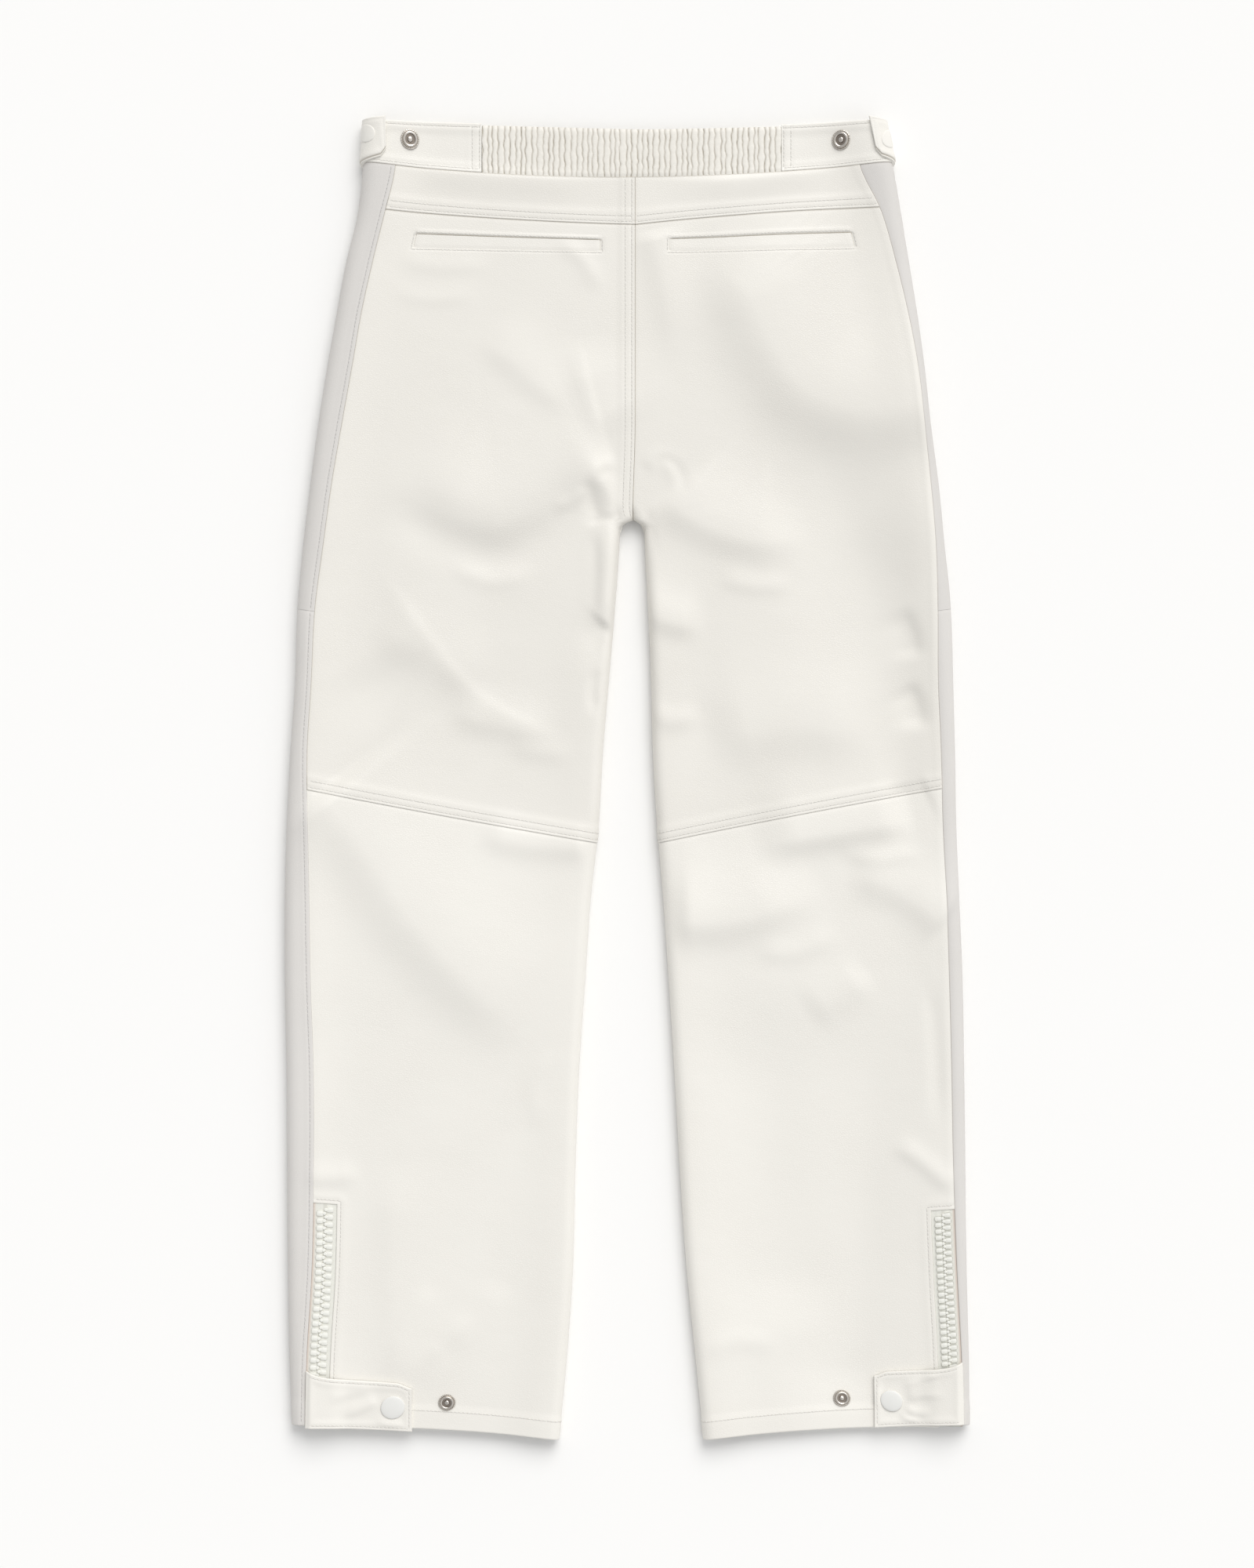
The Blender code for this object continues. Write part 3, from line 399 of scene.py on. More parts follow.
def one_fold(fold, x, drop):
    """Height that one fold adds: it stands along its path and falls away to both sides."""
    path, downhill = smooth_path(fold.path)
    start, run = path[:-1], np.diff(path, axis=0)
    square = (run ** 2).sum(axis=1)
    off_x = x[..., None] - start[:, 0]
    off_drop = drop[..., None] - start[:, 1]
    t = np.clip((off_x * run[:, 0] + off_drop * run[:, 1]) / square, 0, 1)
    away_x, away_drop = off_x - t * run[:, 0], off_drop - t * run[:, 1]
    distance = away_x ** 2 + away_drop ** 2
    near = distance.argmin(axis=-1)[..., None]
    pick = [np.take_along_axis(values, near, -1)[..., 0] for values in (t, away_x, away_drop)]
    unit = run / np.sqrt(square)[:, None]
    way = unit[near[..., 0]]
    beside = downhill * (pick[2] * way[..., 0] - pick[1] * way[..., 1])
    past = pick[1] * way[..., 0] + pick[2] * way[..., 1]
    reach = np.where(beside > 0, fold.lower, fold.upper)
    along = (near[..., 0] + pick[0]) / len(run)
    strength = 1.0
    for share, left in zip(fold.fade, (along, 1 - along)):
        strength = strength * ease(left / max(share, 1e-3) + (share == 0))
    falling = (beside / reach) ** 2 + (past / min(fold.lower, fold.upper)) ** 2
    return FOLD_GAIN * fold.rise * strength * np.exp(-falling)


def fold_rise(folds, x, drop):
    """Height that the folds add at points of the back."""
    rise = np.zeros_like(x)
    for fold in folds:
        margin = FOLD_MARGIN * max(fold.upper, fold.lower)
        near = np.ones(x.shape, bool)
        for values, places in zip((x, drop), zip(*fold.path)):
            near &= (values > min(places) - margin) & (values < max(places) + margin)
        if near.any():
            rise[near] += one_fold(fold, x[near], drop[near])
    return rise


def undulation(x, drop):
    """Slow, uneven waves of hide that lies without being pressed."""
    height = np.zeros_like(x)
    for wave in WAVES:
        turns = random.Random(wave.seed)
        for _ in range(wave.count):
            angle = turns.uniform(0, math.pi)
            pace = 2 * math.pi / (wave.length * turns.uniform(0.75, 1.35))
            phase = turns.uniform(0, 2 * math.pi)
            run = (x * math.cos(angle) + drop * math.sin(angle)) * pace
            height += wave.height / math.sqrt(wave.count) * np.sin(run + phase)
    return height


Ring = namedtuple("Ring", "arc points stripe outer_top side length wrap")


@lru_cache(maxsize=None)
def ring(side, row):
    """One ring of a leg: points from the back inner edge over the top and round underneath."""
    sign = SIDES[side]
    tilt = curve(ROWS, row, "tilt")
    bow = curve(ROWS, row, "bow_" + side)
    drop_in = row + tilt
    inner = sign * inner_edge(side, drop_in)
    outer = curve(OUTLINES[side], row, "outer")
    middle = curve(HEIGHTS, row, "middle")
    roll = curve(HEIGHTS, row, "roll")
    radius = curve(HEIGHTS, row, "radius")
    closed = ease((drop_in - CROTCH + INNER_ROLL_RUN) / INNER_ROLL_RUN)
    closing = np.clip((drop_in - CROTCH + CROTCH_CLOSING) / CROTCH_CLOSING, 0.01, 1.0)
    start = math.radians(90 * (1 - closing))
    inner_top = inner + INNER_ROLL_RADIUS * math.cos(start)
    outer_top = outer - radius

    def level(x):
        beyond_inner = np.maximum(x - inner_top, 0) / SAG_REACH
        beyond_outer = np.maximum(outer_top - x, 0) / SAG_REACH
        inner_bump = (INNER_ROLL_HEIGHT - middle) * closed * np.exp(-beyond_inner ** 2)
        return middle + inner_bump + (roll - middle) * np.exp(-beyond_outer ** 2)

    rise = np.linspace(start, math.pi / 2, ARCH_STEPS)[:-1]
    x_rise = inner + INNER_ROLL_RADIUS * (math.cos(start) - np.cos(rise))
    x_top = np.linspace(inner_top, outer_top, TOP_STEPS)
    turn = np.linspace(math.pi / 2, -math.pi / 2, 2 * ARCH_STEPS)[1:]
    x_turn = outer_top + radius * np.cos(turn)
    x_flat = np.linspace(outer_top, inner_top, FLAT_STEPS)[1:]
    fall = np.linspace(-math.pi / 2, -start, ARCH_STEPS)[1:]
    x_fall = inner + INNER_ROLL_RADIUS * (math.cos(start) - np.cos(fall))

    x = np.concatenate([x_rise, x_top, x_turn, x_flat, x_fall])
    share = (x - inner) / (outer - inner)
    drop = row + tilt * (1 - share)
    on_top = slice(0, len(x_rise) + len(x_top) + ARCH_STEPS)
    drop[on_top] += bow * 4 * share[on_top] * (1 - share[on_top])
    folds = fold_rise(FOLDS, sign * x, drop) + fold_rise(CREASES, sign * x, drop)
    half_in = INNER_ROLL_HEIGHT / 2
    half_out = roll / 2
    top = level(x) + folds + undulation(sign * x, drop)
    first = len(x_rise)
    last = first + len(x_top)
    z = np.zeros_like(x)
    z[:first] = half_in + (top[:first] - half_in) * np.sin(rise)
    z[first:last] = top[first:last]
    upper = np.maximum(np.sin(turn), 0) * (top[last:last + len(turn)] - half_out)
    z[last:last + len(turn)] = half_out + upper + np.minimum(np.sin(turn), 0) * half_out
    z[len(x) - len(fall):] = half_in * (1 + np.sin(fall))

    points = np.column_stack([sign * x, LENGTH / 2 - drop, z])
    steps = np.linalg.norm(np.diff(points, axis=0), axis=1)
    arc = np.concatenate([[0.0], np.cumsum(steps)])
    to_side = last + ARCH_STEPS
    stripe = np.interp(curve(OUTLINES[side], row, "stripe"), x[:to_side], arc[:to_side])
    wrap = INSEAM_WRAP * ease((drop_in - CROTCH) / INSEAM_WRAP_REACH)
    length = arc[-1]
    if drop_in > CROTCH:
        arc = np.concatenate([arc[:-1] - length, arc])
        points = np.concatenate([points[:-1], points])
    return Ring(arc, points, stripe, x[:to_side], (len(points) - len(x), to_side), length, wrap)


def arc_at(side, row, x):
    """Arc position on the top of a ring where it stands x from the middle."""
    found = ring(side, row)
    first, count = found.side
    return float(np.interp(x, found.outer_top, found.arc[first:first + count]))


def ring_points(side, row, arcs):
    found = ring(side, float(row))
    return np.column_stack([np.interp(arcs, found.arc, found.points[:, k]) for k in range(3)])


def between(read, side, row, at):
    """What a function reads on the whole rows above and below a row, shared out between the two."""
    low = math.floor(row)
    share = row - low
    return read(side, low, at) * (1 - share) + read(side, low + 1, at) * share


def spot(side, x, drop):
    """Row and arc position of the point on the back at x and drop."""
    reach = SIDES[side] * x
    row = drop
    for _ in range(5):
        tilt = curve(ROWS, row, "tilt")
        bow = curve(ROWS, row, "bow_" + side)
        inner = SIDES[side] * inner_edge(side, row + tilt)
        share = (reach - inner) / (curve(OUTLINES[side], row, "outer") - inner)
        row = drop - tilt * (1 - share) - bow * 4 * share * (1 - share)
    return row, between(arc_at, side, row, reach)


def out_from_skin(side, row, arc, height):
    """Point that stands a height out from the skin at a row and an arc position."""
    def at(down, out):
        return between(ring_points, side, row + down, [arc + out])[0]
    here = at(0, 0)
    normal = SIDES[side] * np.cross(at(0.5, 0) - at(-0.5, 0), at(0, 0.5) - at(0, -0.5))
    return here + normal / np.linalg.norm(normal) * height


# ---------------------------------------------------------------- surfaces and how they are sewn

Surface = namedtuple("Surface", "piece rows arcs points normals")


def graded(start, end, step, count=None):
    """Positions between two edges, close together beside both."""
    near = np.array(EDGE_STEPS)
    inner = end - start - 2 * near[-1]
    if inner <= 0:
        return np.linspace(start, end, count or max(int((end - start) / step * 2), 8) + 1)
    count = count or max(int(round(inner / step)), 2)
    middle = np.linspace(start + near[-1], end - near[-1], count + 1)[1:-1]
    return np.concatenate([start + near, middle, end - near[::-1]])


def graded_count(length, step):
    return max(int(round((length - 2 * EDGE_STEPS[-1]) / step)), 2)


def grid_normals(points, sign):
    """Outward normals of a grid whose rows run down and whose columns run to the side."""
    along = np.gradient(points, axis=0)
    across = np.gradient(points, axis=1)
    normals = sign * np.cross(along, across)
    return normals / np.maximum(np.linalg.norm(normals, axis=2, keepdims=True), 1e-9)


def seam_relief(seam, distance):
    """Height that one sewn edge adds at distances from it."""
    rounding = np.sqrt(np.maximum(1 - (1 - np.minimum(distance / seam.fold, 1)) ** 2, 0))
    layer = seam.height * rounding * (1 - ease((distance - seam.run) / LAYER_FADE))
    sunk = seam.sink * np.exp(-(distance / SINK_REACH) ** 2)
    pressed = sum(STITCH_PRESS * np.exp(-((distance - at) / STITCH_REACH) ** 2) for at in seam.stitches)
    return layer - sunk - pressed


def new_piece(name, places, faces, sharp_from=None):
    """Smooth piece from points in millimetres. A closed one keeps its edges sharp from an angle."""
    mesh = bpy.data.meshes.new(name)
    mesh.from_pydata((np.array(places) * MM).tolist(), [], faces)
    if sharp_from:
        mesh.validate()
        made = bmesh.new()
        made.from_mesh(mesh)
        bmesh.ops.recalc_face_normals(made, faces=made.faces)
        made.to_mesh(mesh)
        made.free()
    mesh.shade_smooth()
    if sharp_from:
        mesh.set_sharp_from_angle(angle=math.radians(sharp_from))
    piece = bpy.data.objects.new(name, mesh)
    GARMENT.objects.link(piece)
    return piece


def dress(piece, finish):
    """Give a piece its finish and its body."""
    piece.data.materials.append(finish)
    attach(piece, "root")


def shell(name, outer, normals, thickness, cut=None):
    """Closed leather wall: the grid of outer points, the same points moved in, and the rim between."""
    rows, columns = outer.shape[:2]
    inside = rows * columns
    index = np.arange(inside).reshape(rows, columns)
    quads = np.stack([index[:-1, :-1], index[:-1, 1:], index[1:, 1:], index[1:, :-1]], axis=-1)
    top = quads.reshape(-1, 4) if cut is None else quads[~cut]
    edges = {}
    for corner, other in ((0, 1), (1, 2), (2, 3), (3, 0)):
        for start, end in top[:, [corner, other]].tolist():
            if (end, start) in edges:
                del edges[(end, start)]
            else:
                edges[(start, end)] = True
    rim = np.array([(end, start, start + inside, end + inside) for start, end in edges])
    faces = np.concatenate([top, top[:, ::-1] + inside, rim])
    places = np.concatenate([outer.reshape(-1, 3), (outer - normals * thickness).reshape(-1, 3)])
    used = np.unique(faces)
    renumber = np.zeros(len(places), int)
    renumber[used] = np.arange(len(used))
    return new_piece(name, places[used], renumber[faces].tolist(), SHARP_LEATHER)


def sew(piece, node_name, finish):
    """Give a cloth piece its finish and its body, and hide the solid of its node."""
    dress(piece, finish)
    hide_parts(node_name)


def set_shade(piece, name, values):
    """Store a value for each point of a piece, under the name that its material reads; the larger one stays.

    A short row of values is repeated over all the points, such as one grid over the outside and the inside.
    """
    found = np.zeros(len(piece.data.vertices), np.float32)
    attribute = piece.data.attributes.get(name)
    if attribute:
        attribute.data.foreach_get("value", found)
    else:
        attribute = piece.data.attributes.new(name, "FLOAT", "POINT")
    given = np.resize(np.asarray(values, np.float32), len(found))
    attribute.data.foreach_set("value", np.maximum(found, given))


def panel(node_name, side, rows, arcs_at, thickness, edges, rests_on=(), finish=None, slot="off_white_leather",
          raised=0.0, shaping=None, cut=None):
    """Leather over a stretch of skin. edges are its top, bottom, start and end seams."""
    rows = np.array(rows, float)
    arcs = np.array([arcs_at(side, float(row)) for row in rows])
    points = np.array([ring_points(side, row, here) for row, here in zip(rows, arcs)])
    normals = grid_normals(points, SIDES[side])
    top, bottom, start, end = edges
    starts = [start(row) if callable(start) else start for row in rows]
    drops = rows[:, None]
    lift = np.full(arcs.shape, float(raised))
    lift += seam_relief(top, drops - drops[0])
    lift += seam_relief(bottom, drops[-1] - drops)
    lift += np.array([seam_relief(seam, here - here[0]) for seam, here in zip(starts, arcs)])
    lift += seam_relief(end, arcs[:, -1:] - arcs)
    if shaping:
        lift += shaping(drops, arcs)
    facing_up = ease((normals[..., 2] + 0.35) / 0.6)
    outer = points + normals * (lift * facing_up)[..., None]
    creased = fold_rise(FRONT_FOLDS, points[..., 0], LENGTH / 2 - points[..., 1])
    outer[..., 2] += creased * ease((-normals[..., 2] - 0.6) / 0.3)
    outer[..., 2] = np.maximum(outer[..., 2], LOWEST)
    piece = shell("cloth_" + node_name, outer, normals, thickness, cut)
    # Each panel's painted light and shade, as a paler or deeper tone of its hide.
    set_shade(piece, "dye", [PAINTED_PANEL_SHADES.get(node_name, USUAL_PAINTED_SHADE)])
    if cut is None:
        # Painted shade along the panel's tucked seams.
        set_shade(piece, "crevice", seam_shade(edges, starts, drops, arcs))
    sew(piece, node_name, finish or LEATHER_FINISH)
    return Surface(piece, rows, arcs, outer, grid_normals(outer, SIDES[side]))


def seam_shade(edges, starts, drops, arcs):
    """Painted shade: how dark each point of a panel is painted beside the edges that are sunk under a
    neighbour.
    """
    away = np.full(arcs.shape, FAR)
    for seam, distance in ((edges[0], drops - drops[0]),
                           (edges[1], drops[-1] - drops),
                           (edges[3], arcs[:, -1:] - arcs)):
        if seam is TUCKED:
            away = np.minimum(away, distance)
    tucked = np.array([seam is TUCKED for seam in starts])[:, None]
    away = np.minimum(away, np.where(tucked, arcs - arcs[:, :1], FAR))
    return TUCK_SHADE * np.exp(-(away / TUCK_SHADE_REACH) ** 2).ravel()


def on_surface(surface, row, arc):
    """Point and normal of a sewn surface at a row and an arc position."""
    i = int(np.clip(np.searchsorted(surface.rows, row) - 1, 0, len(surface.rows) - 2))
    share = float(np.clip((row - surface.rows[i]) / (surface.rows[i + 1] - surface.rows[i]), 0, 1))
    found = []
    for grid in (surface.points, surface.normals):
        here = [np.array([np.interp(arc, surface.arcs[k], grid[k, :, axis]) for axis in range(3)])
                for k in (i, i + 1)]
        found.append(here[0] * (1 - share) + here[1] * share)
    return found[0], found[1] / np.linalg.norm(found[1])


# ---------------------------------------------------------------- columns, as on the solids

def back_span(side, row):
    """Arc positions of the two edges of the back's panels."""
    found = ring(side, row)
    return JOIN_GAP / 2 - found.wrap, found.stripe - JOIN_GAP / 2


def stripe_span(side, row):
    start = ring(side, row).stripe + JOIN_GAP / 2
    return start, start + curve(STRIPE_WIDTHS, row, "width") - JOIN_GAP


def front_span(side, row):
    found = ring(side, row)
    start = found.stripe + curve(STRIPE_WIDTHS, row, "width") + SEAM_GAP / 2
    return start, found.length - found.wrap - SEAM_GAP / 2


def side_middle(side, row):
    return arc_at(side, row, curve(OUTLINES[side], row, "outer"))


def side_band_span(side, row):
    elastic_end = {"left": -ELASTIC_LEFT, "right": ELASTIC_RIGHT}[side]
    return arc_at(side, row, elastic_end + SEAM_GAP / 2), side_middle(side, row) + FRONT_BAND_REACH


def columns(width, step, span, strip=0.0, strip_steps=0):
    """Columns of a panel about so wide, and the even ones of a strip of it beside its end edge."""
    count = graded_count(width, step)

    def arcs(side, row):
        start, end = span(side, row)
        in_strip = np.linspace(end - strip, end, strip_steps + 1)[1:]
        return np.concatenate([graded(start, end - strip, step, count), in_strip])
    return arcs


ZIP_STEPS = 7
FLY_STEPS = 8
BACK_COLUMNS = columns(260, BACK_STEP, back_span)
CALF_COLUMNS = columns(230, BACK_STEP, back_span, ZIP_WIDTH, ZIP_STEPS)
STRIPE_COLUMNS = columns(56, STRIPE_STEP, stripe_span)
FRONT_COLUMNS = columns(230, FRONT_STEP, front_span, FLY_WIDTH, FLY_STEPS)
SIDE_BAND_COLUMNS = columns(170, BAND_STEP, side_band_span)


# ---------------------------------------------------------------- stitches

def edge_arc(surface, row, edge, distance):
    """Arc position at a distance inside the start or the end edge."""
    if edge == "start":
        return float(np.interp(row, surface.rows, surface.arcs[:, 0])) + distance
    return float(np.interp(row, surface.rows, surface.arcs[:, -1])) - distance


def across(surface, row, first, last):
    """Path along one row, ending at distances inside the start and the end edge."""
    arcs = np.arange(edge_arc(surface, row, "start", first), edge_arc(surface, row, "end", last), 1.0)
    return [(row, float(arc)) for arc in arcs]


def down(surface, edge, distance, first, last):
    """Path beside the start or the end edge, from one row to another."""
    return [(float(row), edge_arc(surface, row, edge, distance)) for row in np.arange(first, last, 1.0)]


def bead():
    """Unit stitch along X: its tips, two rings between them, and how near each point is to a needle hole."""
    places = [(-0.5, 0.0, 0.0)]
    for reach in (-0.3, 0.3):
        for k in range(STITCH_SIDES):
            angle = 2 * math.pi * k / STITCH_SIDES
            places.append((reach, 0.5 * math.cos(angle), 0.5 * math.sin(angle)))
    places.append((0.5, 0.0, 0.0))
    last = len(places) - 1
    faces = []
    for k in range(STITCH_SIDES):
        after = (k + 1) % STITCH_SIDES
        faces.append((0, 1 + after, 1 + k))
        faces.append((1 + k, 1 + after, 1 + STITCH_SIDES + after, 1 + STITCH_SIDES + k))
        faces.append((last, 1 + STITCH_SIDES + k, 1 + STITCH_SIDES + after))
    return np.array(places), faces


def needle_hole(start, centre, along, side, normal):
    """Small hollow in the hide between two stitches: a rim, and a middle just below it, darkened with painted
    shade.
    """
    places, faces = [centre + normal * 0.03], []
    for k in range(STITCH_SIDES):
        angle = 2 * math.pi * k / STITCH_SIDES
        reach = along * math.cos(angle) * HOLE_RADIUS + side * math.sin(angle) * HOLE_RADIUS * 0.8
        places.append(centre + reach + normal * 0.12)
        faces.append((start, start + 1 + k, start + 1 + (k + 1) % STITCH_SIDES))
    return places, faces


def stitch(surface, node_name, paths, finish=None):
    """Lay a row of stitches along each path on a sewn surface."""
    unit, unit_faces = bead()
    unit = unit * (STITCH_LENGTH, STITCH_WIDTH, STITCH_WIDTH * 0.8)
    chance = random.Random(node_name)
    places, faces, painted_stitch_shade = [], [], []
    for path in paths:
        found = [on_surface(surface, row, arc) for row, arc in path]
        points = np.array([point for point, _ in found])
        normals = np.array([normal for _, normal in found])
        run = np.concatenate([[0.0], np.cumsum(np.linalg.norm(np.diff(points, axis=0), axis=1))])
        for at in np.arange(STITCH_PITCH / 2, run[-1] - STITCH_PITCH / 2, STITCH_PITCH):
            at += chance.uniform(-0.08, 0.08) * STITCH_PITCH
            centre, ahead, behind, normal = [
                np.array([np.interp(where, run, values[:, k]) for k in range(3)])
                for where, values in ((at, points), (at + 0.6, points), (at - 0.6, points), (at, normals))
            ]
            along = ahead - behind
            along /= np.linalg.norm(along)
            side = np.cross(normal, along)
            along = along + side * chance.uniform(-0.09, 0.09)
            lift = centre + normal * 0.08
            start = len(places)
            for x, y, z in unit:
                places.append(lift + along * x + side * y + normal * z)
            faces.extend([tuple(start + k for k in face) for face in unit_faces])
            # Painted shade at both tips of the stitch, where it goes into the hide.
            painted_stitch_shade += [0.5] + [0.0] * (2 * STITCH_SIDES) + [0.5]
            hole, hole_faces = needle_hole(len(places), centre + along * STITCH_PITCH / 2, along, side, normal)
            places += hole
            faces += hole_faces
            # Painted shade in the needle hole, darkest in its middle.
            painted_stitch_shade += [1.0] + [0.3] * STITCH_SIDES
    places = np.array(places)
    places[:, 2] = np.maximum(places[:, 2], 0.0)
    piece = new_piece("stitches_" + node_name, places, faces)
    set_shade(piece, "crevice", painted_stitch_shade)
    dress(piece, finish or THREAD_FINISH)


# ---------------------------------------------------------------- finishes

def give(tree, socket, value):
    """Feed a shader input from another node, or store a plain value or colour in it."""
    if isinstance(value, bpy.types.NodeSocket):
        tree.links.new(value, socket)
    elif isinstance(value, tuple):
        socket.default_value = (*value, 1.0)[:len(socket.default_value)]
    else:
        socket.default_value = value


def node(tree, kind, given, **settings):
    """Shader node with its settings and what its inputs are given."""
    made = tree.nodes.new(kind)
    for key, value in settings.items():
        setattr(made, key, value)
    for key, value in given.items():
        give(tree, made.inputs[key], value)
    return made


def new_group(name, inputs, outputs):
    """Empty shader group with number inputs and number outputs."""
    group = bpy.data.node_groups.new(name, "ShaderNodeTree")
    for label, value in inputs.items():
        socket = group.interface.new_socket(name=label, in_out="INPUT", socket_type="NodeSocketFloat")
        socket.default_value = value
    for label in outputs:
        group.interface.new_socket(name=label, in_out="OUTPUT", socket_type="NodeSocketFloat")
    return group, group.nodes.new("NodeGroupInput").outputs, group.nodes.new("NodeGroupOutput").inputs


def math_node(tree, operation, first, second, clamp=False):
    return node(tree, "ShaderNodeMath", {0: first, 1: second}, operation=operation, use_clamp=clamp).outputs[0]


def place_on(tree):
    """Place on the piece, in its own coordinates."""
    return node(tree, "ShaderNodeTexCoord", {}).outputs["Object"]


def noise(tree, where, scale, detail, roughness=0.5, output="Fac"):
    given = {"Vector": where, "Scale": scale, "Detail": detail, "Roughness": roughness}
    return node(tree, "ShaderNodeTexNoise", given).outputs[output]


def wave(tree, where, scale, distortion, direction):
    given = {"Vector": where, "Scale": scale, "Distortion": distortion}
    return node(tree, "ShaderNodeTexWave", given, bands_direction=direction).outputs["Fac"]


def spread(tree, value, low=0.0, high=1.0, to_low=0.0, to_high=1.0, **settings):
    """A value stretched from one range to another."""
    given = {"Value": value, "From Min": low, "From Max": high, "To Min": to_low, "To Max": to_high}
    return node(tree, "ShaderNodeMapRange", given, **settings).outputs["Result"]


def stored(tree, name):
    """Value that set_shade has stored on the piece."""
    return node(tree, "ShaderNodeAttribute", {}, attribute_name=name).outputs["Fac"]


def mix(tree, share, first, second):
    return node(tree, "ShaderNodeMix", {"Factor": share, 6: first, 7: second}, data_type="RGBA").outputs[2]


def dimmed(colour, factors):
    return tuple(part * factor for part, factor in zip(colour, factors))


def bump(tree, height, strength, distance):
    given = {"Height": height, "Strength": strength, "Distance": distance}
    return node(tree, "ShaderNodeBump", given).outputs["Normal"]


def new_material(name):
    """Material with a plain shader: its node tree comes with it."""
    made = bpy.data.materials.new(name)
    made.use_nodes = True
    return made, made.node_tree


def finish_with(material, given):
    """Feed the shader of a material."""
    shader = material.node_tree.nodes["Principled BSDF"]
    for key, value in given.items():
        give(material.node_tree, shader.inputs[key], value)
    return material


def pebble_grain():
    """Pebbled hide: flat cells between fine wrinkles, longer across the leg than along it."""
    group, given, result = new_group("pebble_grain", {"Cell": 1.5, "Depth": 1.0}, ("Height", "Creases"))
    place = place_on(group)
    stretched = node(group, "ShaderNodeMapping", {"Vector": place, "Scale": (0.62, 1.0, 1.0)}).outputs["Vector"]
    bend = noise(group, place, 420.0, 2.0, output="Color")
    bent = node(group, "ShaderNodeVectorMath", {0: bend, 1: (0.0011, 0.0011, 0.0011), 2: stretched},
                operation="MULTIPLY_ADD").outputs[0]
    pace = math_node(group, "DIVIDE", 1000.0, given["Cell"])
    cells = node(group, "ShaderNodeTexVoronoi", {"Vector": bent, "Scale": pace, "Randomness": 0.95},
                 feature="DISTANCE_TO_EDGE")
    domes = spread(group, cells.outputs["Distance"], 0.0, 0.32, interpolation_type="SMOOTHSTEP")
    patchy = spread(group, noise(group, place, 13.0, 2.0), 0.35, 0.68, 0.3, 1.0)
    pebbles = math_node(group, "MULTIPLY", domes, patchy)
    rolling = math_node(group, "MULTIPLY", noise(group, stretched, 160.0, 4.0, 0.6), 1.3)
    height = math_node(group, "ADD", pebbles, rolling)
    give(group, result["Height"], math_node(group, "MULTIPLY", height, given["Depth"]))
    hollow = math_node(group, "SUBTRACT", 1.0, domes)
    give(group, result["Creases"], math_node(group, "MULTIPLY", hollow, patchy))
    return group


def hide_tone():
    """Slow, random change of tone over the hide plus each panel's painted light and shade, and the painted
    shade of crevices where the piece's attribute says so.
    """
    group, given, result = new_group("hide_tone", {"Change": 1.0}, ("Tone and Painted Light", "Painted Shade"))
    slow = spread(group, noise(group, place_on(group), 7.0, 5.0, 0.62), 0.3, 0.7)
    uneven = math_node(group, "MULTIPLY", slow, given["Change"])
    # The tone: random change plus the panel's painted light and shade.
    give(group, result["Tone and Painted Light"], math_node(group, "ADD", uneven, stored(group, "dye"), clamp=True))
    # Painted shade of crevices, as the piece stores it.
    give(group, result["Painted Shade"], stored(group, "crevice"))
    return group


def hide_material(name, pale, deep, crevice, cell, depth, roughness, change):
    """Leather of two near tones with its grain and creases, mixed by each panel's painted light and shade, with
    painted shade in the grain's creases and in crevices.
    """
    made, tree = new_material(name)
    grain = node(tree, "ShaderNodeGroup", {}, node_tree=GRAIN_GROUP)
    grain.inputs["Cell"].default_value = cell
    tone = node(tree, "ShaderNodeGroup", {}, node_tree=TONE_AND_SHADE_GROUP)
    tone.inputs["Change"].default_value = change
    colour = mix(tree, tone.outputs["Tone and Painted Light"], pale, deep)
    # Painted shade in the grain's creases.
    colour = mix(tree, math_node(tree, "MULTIPLY", grain.outputs["Creases"], 0.08), colour, crevice)
    return finish_with(made, {
        # Painted shade in crevices, where the piece's attribute says so.
        "Base Color": mix(tree, tone.outputs["Painted Shade"], colour, crevice),
        "Roughness": spread(tree, grain.outputs["Creases"], 0.0, 1.0, roughness - 0.05, roughness + 0.09),
        "Normal": bump(tree, grain.outputs["Height"], 1.0, depth * MM),
        "Specular IOR Level": 0.65,
    })


def thread_material(name, colour):
    """Twisted thread: fine slanted ply over a soft, matte surface, with painted shade at its tips and in its
    needle holes.
    """
    made, tree = new_material(name)
    ply = wave(tree, place_on(tree), 900.0, 1.5, "DIAGONAL")
    tone = mix(tree, ply, colour, dimmed(colour, (0.86, 0.86, 0.86)))
    return finish_with(made, {
        # Painted shade at the tips and holes, where the piece's attribute says so.
        "Base Color": mix(tree, stored(tree, "crevice"), tone, dimmed(colour, (0.75, 0.71, 0.68))),
        "Normal": bump(tree, ply, 0.6, 0.00008),
        "Roughness": 0.65,
    })


def tape_material():
    """Woven zip tape: a fine herringbone of two white yarns, with painted shade down its middle under the chain
    and along its outer edge beside the leather.
    """
    made, tree = new_material("zip_tape")
    place = place_on(tree)
    weave = math_node(tree, "MULTIPLY", wave(tree, place, 620.0, 0.6, "Y"), wave(tree, place, 380.0, 0.4, "X"))
    colour = mix(tree, weave, (0.78, 0.775, 0.715), (0.868, 0.864, 0.81))
    # Painted shade down the middle, under the chain.
    colour = mix(tree, stored(tree, "crevice"), colour, (0.70, 0.69, 0.63))
    return finish_with(made, {
        # Painted shade along the tape's outer edge, beside the leather.
        "Base Color": mix(tree, stored(tree, "piping"), colour, (0.66, 0.56, 0.49)),
        "Normal": bump(tree, weave, 0.7, 0.00015),
        "Roughness": 0.8,
    })


